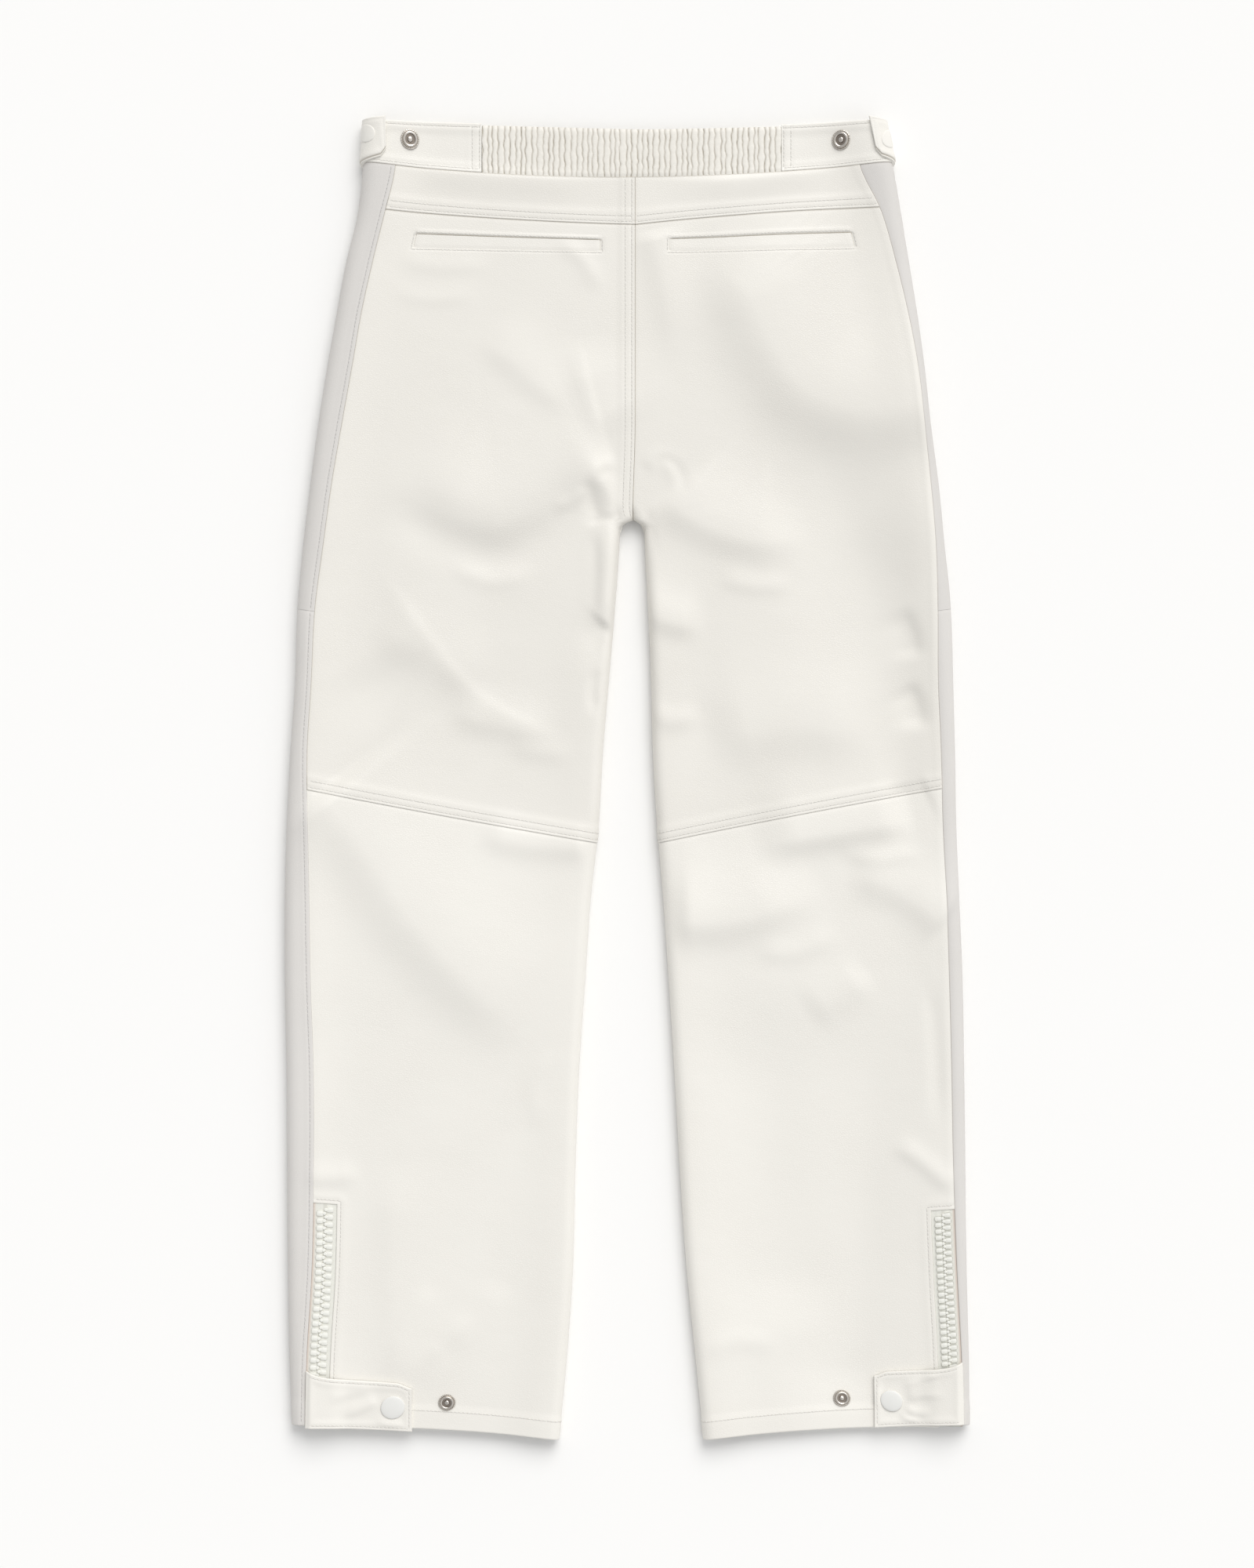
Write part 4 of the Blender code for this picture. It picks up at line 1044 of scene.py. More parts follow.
def moulded_material(name, colour, roughness):
    """Moulded plastic with a faint cast texture and handling marks."""
    made, tree = new_material(name)
    place = place_on(tree)
    marks = noise(tree, place, 160.0, 4.0)
    return finish_with(made, {
        "Base Color": mix(tree, marks, colour, dimmed(colour, (0.95, 0.95, 0.95))),
        "Roughness": spread(tree, marks, 0.0, 1.0, roughness - 0.06, roughness + 0.1),
        "Normal": bump(tree, noise(tree, place, 900.0, 3.0), 0.3, 0.00006),
    })


def nickel_material():
    """Nickel plate, brighter on rubbed places and duller in between, with painted shade in its recesses."""
    made, tree = new_material("nickel_plate")
    rub = noise(tree, place_on(tree), 420.0, 5.0, 0.65)
    tone = mix(tree, rub, (0.72, 0.68, 0.63), (0.50, 0.465, 0.42))
    return finish_with(made, {
        # Painted shade in recesses, where the piece's attribute says so.
        "Base Color": mix(tree, stored(tree, "crevice"), tone, (0.26, 0.22, 0.185)),
        "Roughness": spread(tree, rub, 0.0, 1.0, 0.16, 0.34),
        "Metallic": 1.0,
    })


def floor_material():
    """Plain pale surface."""
    made, _ = new_material("pale_floor")
    return finish_with(made, {"Base Color": (0.932, 0.928, 0.916), "Roughness": 0.9, "Specular IOR Level": 0.1})


# ---------------------------------------------------------------- the cut pieces

def centre_seam(side):
    """The left half laps over the right down the centre back; below the crotch the inseam is plain."""
    def seam(row):
        in_drop = row + curve(ROWS, row, "tilt")
        if in_drop > CROTCH:
            return PLAIN
        return LAPPED if side == "left" else TUCKED
    return seam


def side_seam(side):
    """Seams of the back's edge and the stripe's: the left stripe laps over the back, the right one under."""
    return (TUCKED, EDGE_STITCHED) if side == "left" else (LIPPED, TUCKED)


def crotch_row():
    """Row whose inner end is the crotch."""
    rows = np.linspace(250, 350, 1001)
    return float(np.interp(CROTCH, [row + curve(ROWS, row, "tilt") for row in rows], rows))


def back_panel(name, side, rows, arcs_at, bottom, start, **more):
    """Panel of the back, tucked under its upper neighbour."""
    return panel(f"{name}_{side}", side, rows, arcs_at, LEATHER, (TUCKED, bottom, start, side_seam(side)[0]),
                 ["front_leg_" + side], **more)


def lapped_paths(made, side, bottom, first, last):
    """Stitches of a panel's lower seam and, on the half that laps over, of the centre seam."""
    paths = [across(made, bottom - at, 1.5, 1.0) for at in LAPPED.stitches]
    if side == "left":
        paths += [down(made, "start", at, first, last) for at in LAPPED.stitches]
    return paths


def back_yoke(side):
    rows = graded(WAIST_SEAM + JOIN_GAP / 2, YOKE_SEAM - JOIN_GAP / 2, BACK_STEP)
    made = back_panel("back_yoke", side, rows, BACK_COLUMNS, LAPPED, centre_seam(side))
    stitch(made, "back_yoke_" + side, lapped_paths(made, side, YOKE_SEAM, WAIST_SEAM + 1, YOKE_SEAM - 1))


def welt_frame(side, row):
    """Arc positions of the two ends of the welt's opening."""
    start, end = back_span(side, row)
    near = start + WELT_FROM_CENTRE
    return near, near + (end - near) * WELT_SHARE


def welt_recess(side):
    """The panel dips under its welt, and its upper lip stands over the opening."""
    def shaping(drops, arcs):
        ends = np.array([welt_frame(side, float(row)) for row in drops[:, 0]])
        inside = np.minimum(arcs - ends[:, :1], ends[:, 1:] - arcs)
        within = ease((inside + 0.5) / 1.2)
        down_in = np.minimum(drops - WELT_TOP + 0.6, WELT_BOTTOM + 0.3 - drops)
        recess = WELT_SINK * ease((down_in + 0.4) / 0.8) * within
        lip = 0.55 * np.exp(-((drops - WELT_TOP + 2.6) / 1.8) ** 2) * within
        outside = np.maximum(np.maximum(WELT_TOP - drops, drops - WELT_BOTTOM), -inside)
        sewn = 0.28 * np.exp(-((outside - WELT_STITCH) / 0.9) ** 2)
        return lip - recess - sewn * (outside > 0)
    return shaping


def back_thigh(side):
    """Seat and thigh, with close rows round the opening of the welt."""
    top = graded(YOKE_SEAM + JOIN_GAP / 2, WELT_TOP - 2.0, BACK_STEP)
    at_welt = np.arange(WELT_TOP - 1.3, WELT_BOTTOM + 3.0, 0.7)
    rest = graded(WELT_BOTTOM + 4.0, KNEE_SEAM - JOIN_GAP / 2, BACK_STEP)
    made = back_panel("back_thigh", side, np.concatenate([top, at_welt, rest]), BACK_COLUMNS, LAPPED,
                      centre_seam(side), shaping=welt_recess(side))
    ends = np.array([welt_frame(side, float(row)) for row in made.rows])
    within = (made.arcs > ends[:, :1]) & (made.arcs < ends[:, 1:])
    # Painted shade in the welt's opening, under its upper lip.
    slit = np.exp(-((made.rows[:, None] - WELT_TOP - 0.1) / 0.85) ** 2) * within
    set_shade(made.piece, "crevice", slit)
    paths = lapped_paths(made, side, KNEE_SEAM, YOKE_SEAM + 1, crotch_row() - 2)
    above, below = WELT_TOP - WELT_STITCH, WELT_BOTTOM + WELT_STITCH
    for row in (above, below):
        first, last = welt_frame(side, row)
        paths.append([(row, float(arc)) for arc in np.arange(first - WELT_STITCH, last + WELT_STITCH, 1.0)])
    for end, out in ((0, -WELT_STITCH), (1, WELT_STITCH)):
        drops = [float(row) for row in np.arange(above, below, 1.0)]
        paths.append([(row, welt_frame(side, row)[end] + out) for row in drops])
    stitch(made, "back_thigh_" + side, paths)


def pocket_welt(side):
    rows = graded(WELT_TOP + 0.05, WELT_BOTTOM + 0.35, 1.6)

    def arcs(leg, row):
        first, last = welt_frame(leg, row)
        return graded(first + 0.15, last - 0.15, 3.0, 40)
    panel("pocket_welt_" + side, side, rows, arcs, WELT_WALL, (FREE, PLAIN, PLAIN, PLAIN),
          ["back_thigh_" + side], raised=-0.1)


def zip_opening(side):
    """The calf's edges round the zip's opening are turned and stitched."""
    def shaping(drops, arcs):
        opening = arcs[:, -1:] - ZIP_WIDTH
        beside = opening - arcs
        above = ZIP_TOP[side] - drops
        distance = np.where((beside > 0) & (above > 0), np.hypot(beside, above), np.maximum(beside, above))
        raised = seam_relief(ZIP_EDGE, np.maximum(distance, 0))
        return np.where(distance >= 0, raised, 0)
    return shaping


def strip_cut(side, rows, arcs_at, at_rows, steps):
    """Cells of the strip beside a panel's end edge, which are cut away on some of its rows."""
    cells = np.zeros((len(rows) - 1, len(arcs_at(side, KNEE_SEAM)) - 1), bool)
    cells[at_rows, -steps:] = True
    return cells


def back_calf(side):
    """Calf, cut away for the zip."""
    zip_top = ZIP_TOP[side]
    upper = graded(KNEE_SEAM + JOIN_GAP / 2, zip_top, BACK_STEP)
    rows = np.concatenate([upper, graded(zip_top, HEM, BACK_STEP)[1:]])
    cut = strip_cut(side, rows, CALF_COLUMNS, slice(len(upper) - 1, None), ZIP_STEPS)
    made = back_panel("back_calf", side, rows, CALF_COLUMNS, HEMMED, PLAIN, shaping=zip_opening(side), cut=cut)
    inset = ZIP_EDGE.stitches[0]
    to_opening = float(np.ptp(made.arcs[len(upper)])) - ZIP_WIDTH - inset
    stitch(made, "back_calf_" + side, [
        across(made, HEM - HEMMED.stitches[0], 2.0, ZIP_WIDTH + 1),
        down(made, "end", ZIP_WIDTH + inset, zip_top - inset, HEM - 12),
        across(made, zip_top - inset, to_opening, 1.0),
    ])


def side_stripes(side):
    """Upper and lower stripe, rolled round the side."""
    spans = {
        "side_stripe_upper_": (WAIST_SEAM + JOIN_GAP / 2, STRIPE_JOIN - JOIN_GAP / 2, (TUCKED, FREE)),
        "side_stripe_lower_": (STRIPE_JOIN + JOIN_GAP / 2, HEM - 2, (PLAIN, HEMMED)),
    }
    sewn = ("start", "end") if side == "left" else ("end",)
    for name, (first, last, ends) in spans.items():
        made = panel(name + side, side, graded(first, last, STRIPE_STEP), STRIPE_COLUMNS, STRIPE_WALL,
                     (*ends, side_seam(side)[1], EDGE_STITCHED), ["front_leg_" + side],
                     finish=STRIPE_FINISH, slot="light_grey_leather")
        paths = [down(made, edge, EDGE_STITCHED.stitches[0], first + 1, last - 1) for edge in sewn]
        stitch(made, name + side, paths, GREY_THREAD_FINISH)


def front_leg(side):
    """Front of a leg. The left one is cut away for the fly."""
    top = graded(WAIST_SEAM + SEAM_GAP / 2, FLY_END, FRONT_STEP)
    rows = np.concatenate([top, graded(FLY_END, HEM - FRONT_HEM_RISE, FRONT_STEP)[1:]])
    cut = None
    if side == "left":
        cut = strip_cut(side, rows, FRONT_COLUMNS, slice(len(top) - 1), FLY_STEPS)
    panel("front_leg_" + side, side, rows, FRONT_COLUMNS, LEATHER, UNSEWN, cut=cut)


def fly_flap():
    def arcs(side, row):
        end = front_span(side, row)[1]
        return np.linspace(end - FLY_WIDTH + SEAM_GAP, end, 14)
    rows = graded(WAIST_SEAM + SEAM_GAP / 2, FLY_END - SEAM_GAP, 4.0)
    panel("fly_flap", "left", rows, arcs, LEATHER, UNSEWN)


def side_waistband(side):
    rows = graded(WAIST_TOP, WAIST_SEAM - JOIN_GAP / 2, 2.0)
    made = panel("side_waistband_" + side, side, rows, SIDE_BAND_COLUMNS, BAND_WALL,
                 (TURNED, EDGE_STITCHED, BAND_END, FREE), ["front_waistband_" + side])
    paths = [across(made, row, 2, 2) for row in (WAIST_TOP + TURNED.stitches[0], WAIST_SEAM - 2.4)]
    paths += [down(made, "start", at, WAIST_TOP + 1, WAIST_SEAM - 1) for at in BAND_END.stitches]
    stitch(made, "side_waistband_" + side, paths)


def slanted_grid(side, rows_at, arcs_at, height_steps, width_steps):
    """Grid over the skin whose rows slant: shares of its height and of its width."""
    lines = []
    for share in height_steps:
        line = []
        for across_share in width_steps:
            row = rows_at(share, across_share)
            line.append(between(ring_points, side, row, [arcs_at(row, across_share)])[0])
        lines.append(line)
    return np.array(lines)


def front_waistband(side):
    """Front of the waistband, which dips towards the middle."""
    def arcs_at(row, share):
        start = side_middle(side, row) + FRONT_BAND_REACH + SEAM_GAP
        return start + (ring(side, row).length - start) * share

    def rows_at(share, across_share):
        top = WAIST_TOP + FRONT_WAIST_DIP * across_share
        return top + (WAIST_SEAM - SEAM_GAP / 2 - top) * share
    node_name = "front_waistband_" + side
    points = slanted_grid(side, rows_at, arcs_at, np.linspace(0, 1, 16), np.linspace(0, 1, 24))
    piece = shell("cloth_" + node_name, points, grid_normals(points, SIDES[side]), BAND_WALL)
    sew(piece, node_name, LEATHER_FINISH)


def run_from_edge(points, axis):
    """Length of the grid from its first edge to each point."""
    steps = np.linalg.norm(np.diff(points, axis=axis), axis=2)
    return np.insert(np.cumsum(steps, axis=axis), 0, 0.0, axis=axis)


def tab_surface(node_name, side, points, lift, lower_layer=0.0):
    """Turn a tab's grid into a padded, turned piece. Its lower edge may show the layer underneath."""
    normals = grid_normals(points, SIDES[side])
    over, along = run_from_edge(points, 1), run_from_edge(points, 0)
    from_bottom = along[-1:] - along
    edge = np.minimum(np.minimum(over, over[:, -1:] - over), np.minimum(along, from_bottom))
    raised = lift + seam_relief(TAB_EDGE, edge)
    raised += fold_rise(TAB_CREASES, points[..., 0], LENGTH / 2 - points[..., 1])
    parted = lower_layer * np.exp(-((from_bottom - 1.7) / 0.45) ** 2)
    raised -= lower_layer * (1 - ease((from_bottom - 1.3) / 0.5)) + 0.6 * parted
    outer = points + normals * raised[..., None]
    outer[..., 2] = np.maximum(outer[..., 2], LOWEST)
    piece = shell("cloth_" + node_name, outer, normals, TAB_WALL)
    # The tab's painted light: a paler tone of its hide.
    set_shade(piece, "dye", [TAB_PAINTED_SHADE])
    # Painted shade along the parting line between the tab's two layers.
    set_shade(piece, "crevice", [parted * 0.9, 0 * parted])
    sew(piece, node_name, LEATHER_FINISH)
    return Surface(piece, along[:, len(points[0]) // 2], over, outer, grid_normals(outer, SIDES[side]))


def slanted(corners, cut_corner=0.0, bent=False):
    """Rows of a tab between its slanted edges. Its free lower corner may be cut off, its top edge bent."""
    (top_start, top_end), (low_start, low_end) = corners

    def row(share, across_share):
        bend = across_share
        if bent:
            bend = 0.28 * float(ease(across_share / 0.15)) + 0.22 * across_share + 0.5 * across_share ** 8
        top = top_start + (top_end - top_start) * bend
        low = low_start + (low_end - low_start) * across_share
        low -= cut_corner * max(1 - across_share / CUT_CORNER_SHARE, 0)
        return top + (low - top) * share
    return row


def shares(length, step):
    return graded(0.0, length, step) / length


def waist_tab(side):
    node_name = "waist_tab_" + side

    def arcs_at(row, share):
        free_x = WAIST_TAB_START[side] + WAIST_TAB_SLANT[side] * (row - WAIST_TOP)
        start = between(arc_at, side, row, free_x)
        end = side_middle(side, math.floor(row)) + WAIST_TAB_REACH
        return start + (end - start) * share
    rows_at = slanted(WAIST_TAB_ROWS[side], 4.5)
    points = slanted_grid(side, rows_at, arcs_at, shares(34, 2.0), shares(44, 2.0))
    tab_surface(node_name, side, points, LAY_GAP + TAB_WALL, 1.1)


def ankle_tab(side):
    """Tab over the lower end of the zip, lifted by the slider under it."""
    node_name = "ankle_tab_" + side

    def arcs_at(row, share):
        free = between(arc_at, side, row, ANKLE_TAB_START[side])
        return free + (back_span(side, math.floor(row))[1] - free) * share
    width_steps = shares(82, TAB_STEP)
    rows_at = slanted(ANKLE_TAB_ROWS[side], bent=True)
    points = slanted_grid(side, rows_at, arcs_at, shares(46, TAB_STEP), width_steps)
    free, end = arcs_at(SLIDER_DROP, 0.0), arcs_at(SLIDER_DROP, 1.0)
    zip_edge = end - ZIP_WIDTH
    over_slider = np.interp(free + (end - free) * width_steps,
                            [zip_edge - 16, zip_edge, end - TAPE_VISIBLE, end], [0, 1, 1, 0])
    lift = LAY_GAP + TAB_WALL + SLIDER_ROOM * ease(over_slider)[None, :]
    made = tab_surface(node_name, side, points, lift)
    inset = TAB_EDGE.stitches[0]
    last = made.rows[-1] - inset
    paths = [across(made, row, inset, inset) for row in (inset, last)]
    stitch(made, node_name, paths + [down(made, "start", inset, inset, last)])


def ruffles(turn, height):
    """Height of the gathers, from 0 in a groove to 1 on a ridge, and how deep in a groove each point is, for
    the painted shade in the grooves.
    """
    chance = random.Random(58)
    nearest = np.full(turn.shape, FAR)
    total, weight = np.zeros(turn.shape), np.zeros(turn.shape)
    for k in range(RUFFLE_COUNT + 1):
        place = k + chance.uniform(-0.16, 0.16) + 0 * height
        for length, reach in ((16, 0.08), (8, 0.055), (4.6, 0.025)):
            turns = height / (length * chance.uniform(0.8, 1.25)) + chance.random()
            place += reach * np.sin(2 * math.pi * turns)
        depth = 0.85 + 0.15 * np.sin(2 * math.pi * (height / (18 * chance.uniform(0.7, 1.4)) + chance.random()))
        depth *= chance.uniform(0.7, 1.0)
        away = np.abs(turn - place)
        nearest = np.minimum(nearest, away)
        near = np.exp(-(away / 0.3) ** 2)
        total += near * np.clip(depth, 0.2, 1)
        weight += near
    depth = total / np.maximum(weight, 1e-6)
    around = (1 - (1 - np.minimum(nearest / 0.5, 1)) ** 2) ** 0.36
    return 1 - depth * (1 - around), depth * np.exp(-(nearest / 0.12) ** 2)


def elastic_waistband():
    """Leather gathered over elastic: uneven ridges with narrow grooves, pressed by rows of fine stitches."""
    xs = np.linspace(ELASTIC_LEFT + SEAM_GAP / 2, ELASTIC_RIGHT - SEAM_GAP / 2, RUFFLE_COUNT * 10 + 1)
    rows = np.linspace(WAIST_TOP + 1.5, WAIST_SEAM - JOIN_GAP / 2, 34)
    points = np.zeros((len(rows), len(xs), 3))
    for i, row in enumerate(rows):
        for side, own in (("left", xs < CENTRE_SEAM_X), ("right", xs >= CENTRE_SEAM_X)):
            found = ring(side, float(row))
            first, count = found.side
            reach = np.maximum(SIDES[side] * xs[own], SIDES[side] * inner_edge(side, float(row)))
            for k in range(1, 3):
                points[i, own, k] = np.interp(reach, found.outer_top, found.points[first:first + count, k])
        points[i, :, 0] = xs
    normals = grid_normals(points, 1)
    normals *= np.sign(normals[..., 2:])
    turn = np.linspace(0, RUFFLE_COUNT, len(xs))[None, :] + 0 * rows[:, None]
    height = rows[:, None] + 0 * turn
    ridge, groove = ruffles(turn, height)
    rows_sewn = np.linspace(WAIST_TOP + 5, WAIST_SEAM - 4, ELASTIC_STITCH_ROWS)
    press = sum(np.exp(-((height - at) / 0.8) ** 2) for at in rows_sewn)
    edge = np.minimum(height - rows[0], rows[-1] - height)
    lift = RUFFLE_DEPTH * (ridge - 0.55) - 0.06 * press * ridge - 0.7 * np.exp(-(edge / 1.4) ** 2)
    knobs = 0.45 * (ridge - 0.6) * np.exp(-(edge / 2.5) ** 2) * np.where(height < rows.mean(), 1, -1)
    points[..., 1] += knobs
    outer = points + normals * lift[..., None]
    piece = shell("cloth_elastic_waistband", outer, normals, BAND_WALL)
    # Painted shade in the grooves of the gathers.
    set_shade(piece, "crevice", [groove, 0 * groove])
    sew(piece, "elastic_waistband", SHIRRED_FINISH)


# ---------------------------------------------------------------- zips and fittings

def zip_tape(side):
    """Tape of the zip, with a low cord under the chain."""
    rows = graded(ZIP_TOP[side] + JOIN_GAP, HEM - 1, 3.0)
    width = ZIP_WIDTH - 2 * JOIN_GAP
    steps = np.linspace(0, width, 21)

    def arcs(leg, row):
        return back_span(leg, row)[1] - ZIP_WIDTH + JOIN_GAP + steps

    def cord(drops, arcs_here):
        return 0.25 * np.exp(-((steps[None, :] - width / 2) / 5.2) ** 8)
    made = panel("ankle_zip_" + side, side, rows, arcs, TAPE_WALL, UNSEWN, ["front_leg_" + side],
                 finish=TAPE_FINISH, slot="zip_plastic", raised=-ZIP_RECESS, shaping=cord)
    # Painted shade on the tape down its middle, under the chain and between the teeth.
    set_shade(made.piece, "crevice", np.exp(-((steps - width / 2) / 1.6) ** 4))
    # Painted shade along the tape's outer edge, where it meets the leather.
    set_shade(made.piece, "piping", np.exp(-((steps - width) / 1.5) ** 2))
    return made


TOOTH_BODY = 5.5
TOOTH_RISE = 1.3
HEAD_PAST_MIDDLE = 0.9


def taken(shape):
    """Points and faces of a shaped primitive, which is then removed."""
    places = np.array([vertex.co[:] for vertex in shape.data.vertices])
    faces = [tuple(face.vertices) for face in shape.data.polygons]
    bpy.data.objects.remove(shape, do_unlink=True)
    return places, faces


def moulded_tooth(pitch):
    """One tooth of the chain: a rounded bar and, past its inner end, the round head that locks."""
    bpy.ops.object.select_all(action="DESELECT")
    bpy.ops.mesh.primitive_cube_add(size=1.0)
    tooth = bpy.context.object
    bpy.ops.object.mode_set(mode="EDIT")
    bpy.ops.transform.resize(value=(TOOTH_BODY, pitch * 0.72, TOOTH_RISE * 0.9), center_override=(0, 0, 0))
    select_edges(tooth, lambda a, b: abs(a.z - b.z) > 0.1)
    bpy.ops.mesh.bevel(offset=pitch * 0.2, segments=2, affect="EDGES")
    select_edges(tooth, lambda a, b: a.z > TOOTH_RISE * 0.4 and b.z > TOOTH_RISE * 0.4)
    bpy.ops.mesh.bevel(offset=0.5, segments=1, affect="EDGES")
    bpy.ops.mesh.primitive_cylinder_add(vertices=8, radius=pitch * 0.25, depth=TOOTH_RISE)
    bpy.ops.transform.translate(value=(TOOTH_BODY / 2 + 0.7, 0, 0))
    select_edges(tooth, lambda a, b: a.z > TOOTH_RISE * 0.48 and b.z > TOOTH_RISE * 0.48)
    bpy.ops.mesh.bevel(offset=0.4, segments=1, affect="EDGES")
    bpy.ops.object.mode_set(mode="OBJECT")
    places, faces = taken(tooth)
    places[:, 0] += HEAD_PAST_MIDDLE - places[:, 0].max()
    return places, faces


def select_edges(piece, wanted):
    """In edit mode, select only the edges whose two ends pass the test."""
    bpy.ops.mesh.select_mode(type="EDGE")
    bpy.ops.mesh.select_all(action="DESELECT")
    mesh = bmesh.from_edit_mesh(piece.data)
    for edge in mesh.edges:
        edge.select_set(wanted(edge.verts[0].co, edge.verts[1].co))
    mesh.select_flush(True)
    bmesh.update_edit_mesh(piece.data)


def zip_teeth(tape, side):
    """Two columns of teeth that meet on an S line down the middle of the tape."""
    pitch = TOOTH_PITCH[side]
    unit, unit_faces = moulded_tooth(pitch)
    places, faces = [], []
    rows = np.arange(tape.rows[0] + pitch * 0.8, tape.rows[-1] - pitch * 0.6, pitch / 2)
    for k, row in enumerate(rows):
        toward = 1 if k % 2 else -1
        centre_arc = (edge_arc(tape, row, "start", 0) + edge_arc(tape, row, "end", 0)) / 2
        place, normal = on_surface(tape, row, centre_arc)
        up, _ = on_surface(tape, row - 1.0, centre_arc)
        down_way = (place - up) / np.linalg.norm(place - up)
        across_way = np.cross(normal, down_way) * toward
        start = len(places)
        for x, y, z in unit:
            places.append(place + across_way * x + down_way * y + normal * (z + TOOTH_RISE / 2))
        faces.extend([tuple(start + corner for corner in face[::toward]) for face in unit_faces])
    dress(new_piece("zip_teeth_" + side, places, faces, SHARP_FITTING), TEETH_FINISH)


def turned_disc(radius, profile):
    """Round piece shaped ring by ring from a circle: each step is a share of the radius and a height."""
    bpy.ops.object.select_all(action="DESELECT")
    share, height = profile[0]
    bpy.ops.mesh.primitive_circle_add(vertices=DISC_SIDES, radius=radius * share, location=(0, 0, height),
                                      fill_type="NOTHING")
    disc = bpy.context.object
    bpy.ops.object.transform_apply(location=True)
    bpy.ops.object.mode_set(mode="EDIT")
    bpy.ops.mesh.select_all(action="SELECT")
    for (share, height), (next_share, next_height) in zip(profile, profile[1:]):
        bpy.ops.mesh.extrude_edges_move(TRANSFORM_OT_translate={"value": (0, 0, next_height - height)})
        narrower = next_share / share
        bpy.ops.transform.resize(value=(narrower, narrower, 1), center_override=(0, 0, next_height))
    bpy.ops.mesh.edge_face_add()
    bpy.ops.mesh.select_all(action="SELECT")
    bpy.ops.mesh.normals_make_consistent(inside=False)
    bpy.ops.object.mode_set(mode="OBJECT")
    return taken(disc)


def fit(node_name, fitting, shape, base, finish):
    """Set a round piece on the cloth, following the cloth's own curve."""
    row, arc = spot(fitting.side, fitting.x, fitting.drop)
    places, faces = shape
    way = SIDES[fitting.side]
    placed = [out_from_skin(fitting.side, row - y, arc + x * way, base + z) for x, y, z in places]
    piece = new_piece("fitted_" + node_name, placed, faces, SHARP_FITTING)
    dress(piece, finish)
    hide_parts(node_name)
    return piece


DISC_SIDES = 48
# Profiles of round pieces, from the underside to the middle of the top: shares of the radius, and heights.
# A cap under a layer of hide has a soft outer step and a shallow, level top.
COVERED_CAP = [
    (0.5, -0.9), (0.99, -0.9), (1.0, -0.55), (0.985, -0.1), (0.95, 0.12), (0.9, 0.22), (0.84, 0.26),
    (0.73, 0.3), (0.5, 0.36), (0.25, 0.4), (0.04, 0.42),
]
# A smooth dome has a small turned rim.
CAP = [(0.5, -0.5), (0.97, -0.5), (1.0, -0.2), (1.0, 0.45), (0.985, 0.7)]
CAP += [(0.985 * math.cos(turn), 0.7 + 1.1 * math.sin(turn)) for turn in np.radians(np.linspace(10, 84, 9))]
# A stud is a flange with a rolled rim, a raised ring round a recess, and the post in the middle of it.
STUD = [
    (0.6, -0.4), (0.96, -0.4), (1.0, -0.1), (1.0, 0.35), (0.96, 0.62), (0.88, 0.66), (0.82, 0.5), (0.80, 0.7),
    (0.79, 1.9), (0.76, 2.35), (0.70, 2.6), (0.62, 2.55), (0.56, 2.3), (0.545, 1.4), (0.54, 0.5), (0.30, 0.45),
    (0.27, 0.9), (0.25, 1.5), (0.17, 1.75), (0.05, 1.8),
]
BEAD_COUNT = 26
BEAD_RADIUS = 0.52
BEAD_RING = 0.93
BEAD_HEIGHT = 0.5


def rim_beads(name, fitting, base):
    """Ring of small beads pressed into a stud's flange."""
    row, arc = spot(fitting.side, fitting.x, fitting.drop)
    bpy.ops.object.select_all(action="DESELECT")
    bpy.ops.mesh.primitive_uv_sphere_add(segments=8, ring_count=5, radius=BEAD_RADIUS)
    unit, unit_faces = taken(bpy.context.object)
    places, faces = [], []
    for k in range(BEAD_COUNT):
        angle = 2 * math.pi * k / BEAD_COUNT
        reach = fitting.radius * BEAD_RING
        start = len(places)
        for x, y, z in unit:
            bead_row = row + reach * math.cos(angle) + y
            bead_arc = arc + reach * math.sin(angle) + x
            places.append(out_from_skin(fitting.side, bead_row, bead_arc, base + BEAD_HEIGHT + z))
        faces.extend([tuple(start + corner for corner in face) for face in unit_faces])
    dress(new_piece(name, places, faces, SHARP_FITTING), NICKEL_FINISH)


# ---------------------------------------------------------------- all pieces

GRAIN_GROUP = pebble_grain()
TONE_AND_SHADE_GROUP = hide_tone()
# The darkest colour of each hide is painted shade, for its crevices and grain creases.
LEATHER_FINISH = hide_material(
    "pebbled_hide", pale=(0.86, 0.838, 0.785), deep=(0.78, 0.754, 0.70), crevice=(0.52, 0.48, 0.41),
    cell=1.2, depth=0.065, roughness=0.42, change=0.25)
SHIRRED_FINISH = hide_material(
    "shirred_hide", pale=(0.83, 0.803, 0.742), deep=(0.77, 0.74, 0.68), crevice=(0.44, 0.40, 0.33),
    cell=1.0, depth=0.05, roughness=0.46, change=0.25)
STRIPE_FINISH = hide_material(
    "matte_stripe_hide", pale=(0.715, 0.693, 0.665), deep=(0.655, 0.635, 0.61), crevice=(0.40, 0.365, 0.33),
    cell=0.8, depth=0.05, roughness=0.66, change=0.2)
THREAD_FINISH = thread_material("white_thread", (0.80, 0.785, 0.745))
GREY_THREAD_FINISH = thread_material("grey_thread", (0.66, 0.65, 0.635))
TAPE_FINISH = tape_material()
TEETH_FINISH = moulded_material("moulded_teeth", (0.858, 0.856, 0.80), 0.42)
CAP_FINISH = moulded_material("moulded_cap", (0.80, 0.797, 0.77), 0.45)
COVERED_CAP_FINISH = moulded_material("cream_cap", (0.84, 0.82, 0.77), 0.45)
NICKEL_FINISH = nickel_material()

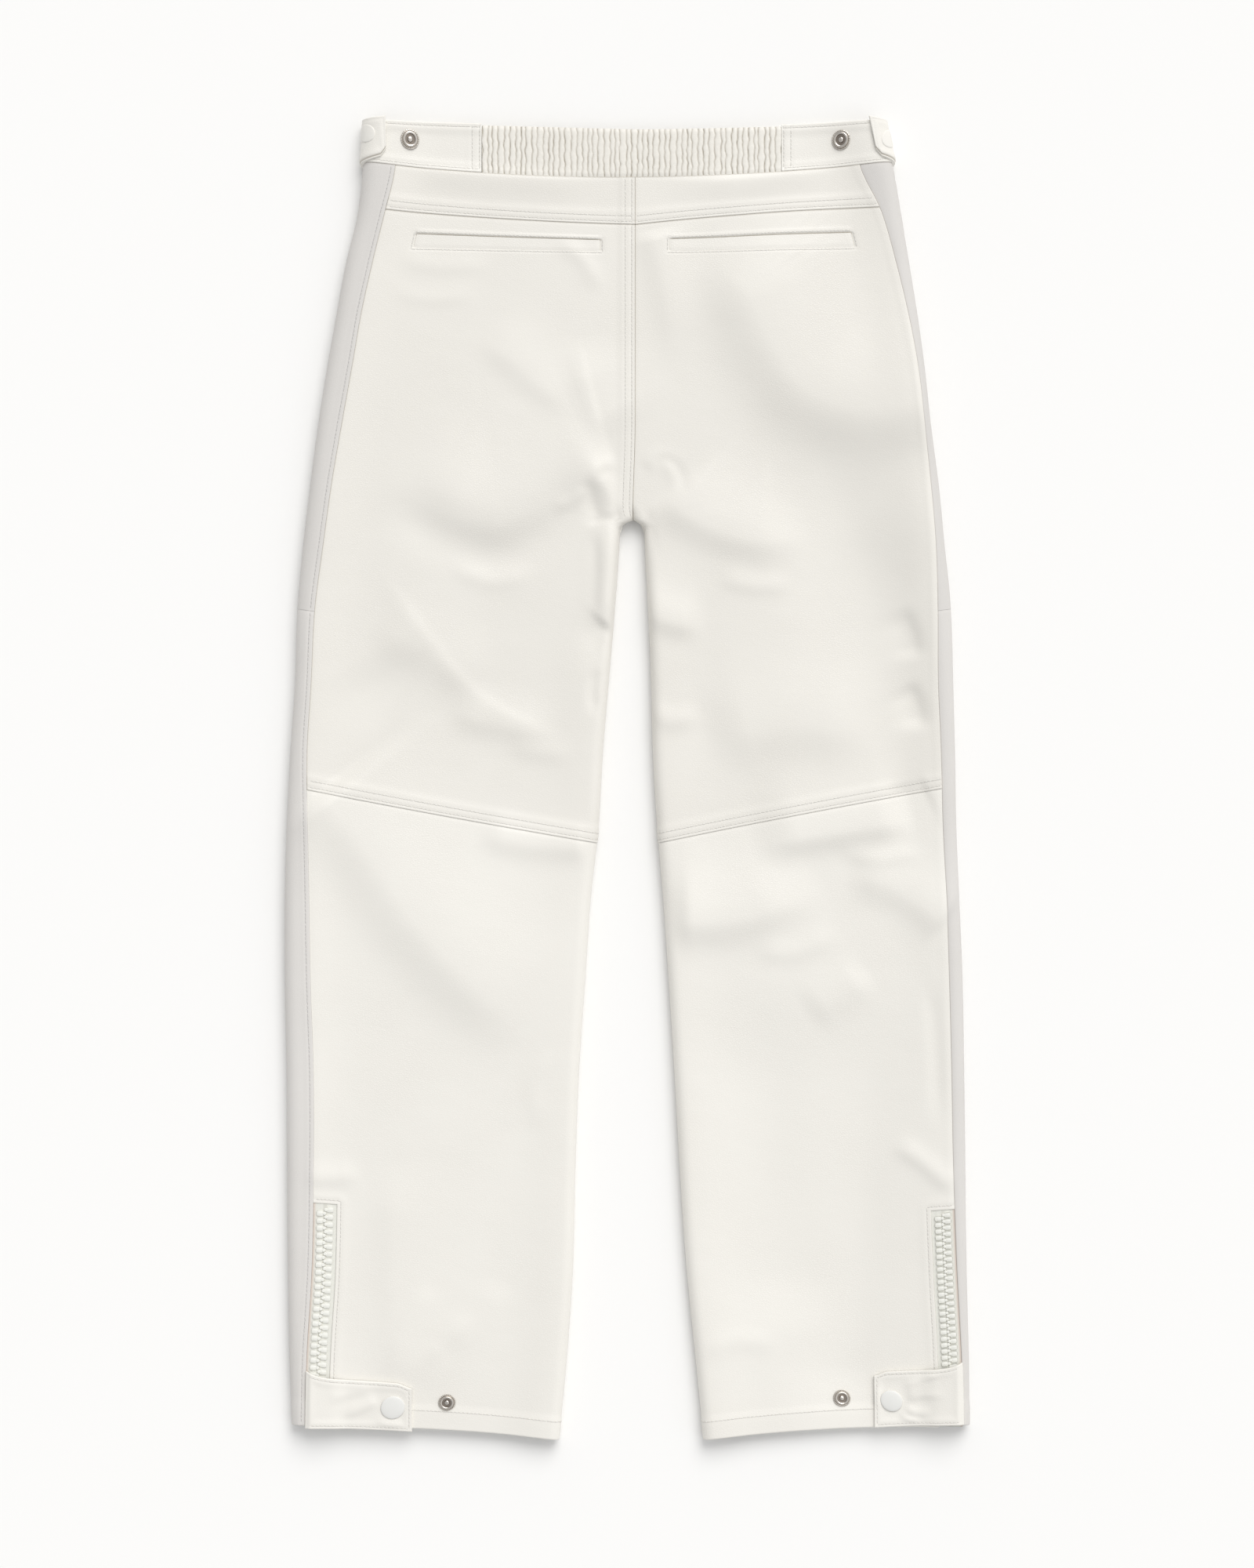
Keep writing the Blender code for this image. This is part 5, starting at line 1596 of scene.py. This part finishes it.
for side in SIDES:
    back_yoke(side)
    back_thigh(side)
    pocket_welt(side)
    back_calf(side)
    side_stripes(side)
    front_leg(side)
    side_waistband(side)
    front_waistband(side)
    waist_tab(side)
    zip_teeth(zip_tape(side), side)
    ankle_tab(side)
fly_flap()
elastic_waistband()

ON_TAB = 2 * LAY_GAP + TAB_WALL
for where, caps, profile, finish in (("waist", WAIST_CAPS, COVERED_CAP, COVERED_CAP_FINISH),
                                     ("ankle", ANKLE_CAPS, CAP, CAP_FINISH)):
    for cap in caps:
        shape = turned_disc(cap.radius, profile)
        fit(f"{where}_snap_cap_{cap.side}", cap, shape, ON_TAB, finish)
for where, studs in (("waist", WAIST_STUDS), ("ankle", ANKLE_STUDS)):
    for stud in studs:
        shape = turned_disc(stud.radius, STUD)
        made = fit(f"{where}_stud_{stud.side}", stud, shape, LAY_GAP, NICKEL_FINISH)
        # Painted shade in the stud's recess, round its post.
        away = np.hypot(shape[0][:, 0], shape[0][:, 1]) / stud.radius
        recess = (away > 0.2) & (away < 0.55) & (shape[0][:, 2] < 1.45)
        set_shade(made, "crevice", recess * 0.9)
        rim_beads(f"{where}_stud_beads_{stud.side}", stud, LAY_GAP)
for side in SIDES:
    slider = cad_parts["zip_slider_" + side]
    slider.data.materials.clear()
    slider.data.materials.append(NICKEL_FINISH)

# ---------------------------------------------------------------- surface, light and camera

bpy.ops.object.select_all(action="DESELECT")
bpy.ops.mesh.primitive_plane_add(size=24.0, location=(0, 0, -0.0001))
floor = bpy.context.object
floor.name = "floor"
bpy.ops.object.transform_apply(location=True)
floor.data.materials.append(floor_material())


def lamp(name, energy, angle, azimuth, elevation, colour):
    """Distant softbox: its direction as degrees from +X and above the surface."""
    light = bpy.data.lights.new(name, "SUN")
    light.energy = energy
    light.angle = math.radians(angle)
    light.color = colour
    placed = bpy.data.objects.new(name, light)
    turn, rise = math.radians(azimuth), math.radians(elevation)
    toward = Vector((math.cos(rise) * math.cos(turn), math.cos(rise) * math.sin(turn), math.sin(rise)))
    placed.location = toward * LAMP_DISTANCE
    placed.rotation_euler = toward.to_track_quat("Z", "Y").to_euler()
    bpy.context.scene.collection.objects.link(placed)


LAMP_DISTANCE = 3.0
lamp("key_softbox", energy=1.7, angle=42, azimuth=72, elevation=44, colour=(1.0, 0.99, 0.975))
lamp("side_softbox", energy=0.5, angle=90, azimuth=12, elevation=45, colour=(1.0, 0.995, 0.985))
world = bpy.data.worlds.new("studio")
world.use_nodes = True
world.node_tree.nodes["Background"].inputs["Color"].default_value = (0.985, 0.99, 1.0, 1.0)
world.node_tree.nodes["Background"].inputs["Strength"].default_value = 0.57
bpy.context.scene.world = world
bpy.context.scene.view_settings.view_transform = "Standard"

CAMERA_HEIGHT = 3.21
CAMERA_DROP = 0.00435
camera_data = bpy.data.cameras.new("camera")
camera_data.lens = 90.0
camera_data.sensor_width = 36.0
camera_data.clip_end = 40.0
camera = bpy.data.objects.new("camera", camera_data)
camera.location = (0.0, -CAMERA_DROP, CAMERA_HEIGHT)
bpy.context.scene.collection.objects.link(camera)
bpy.context.scene.camera = camera
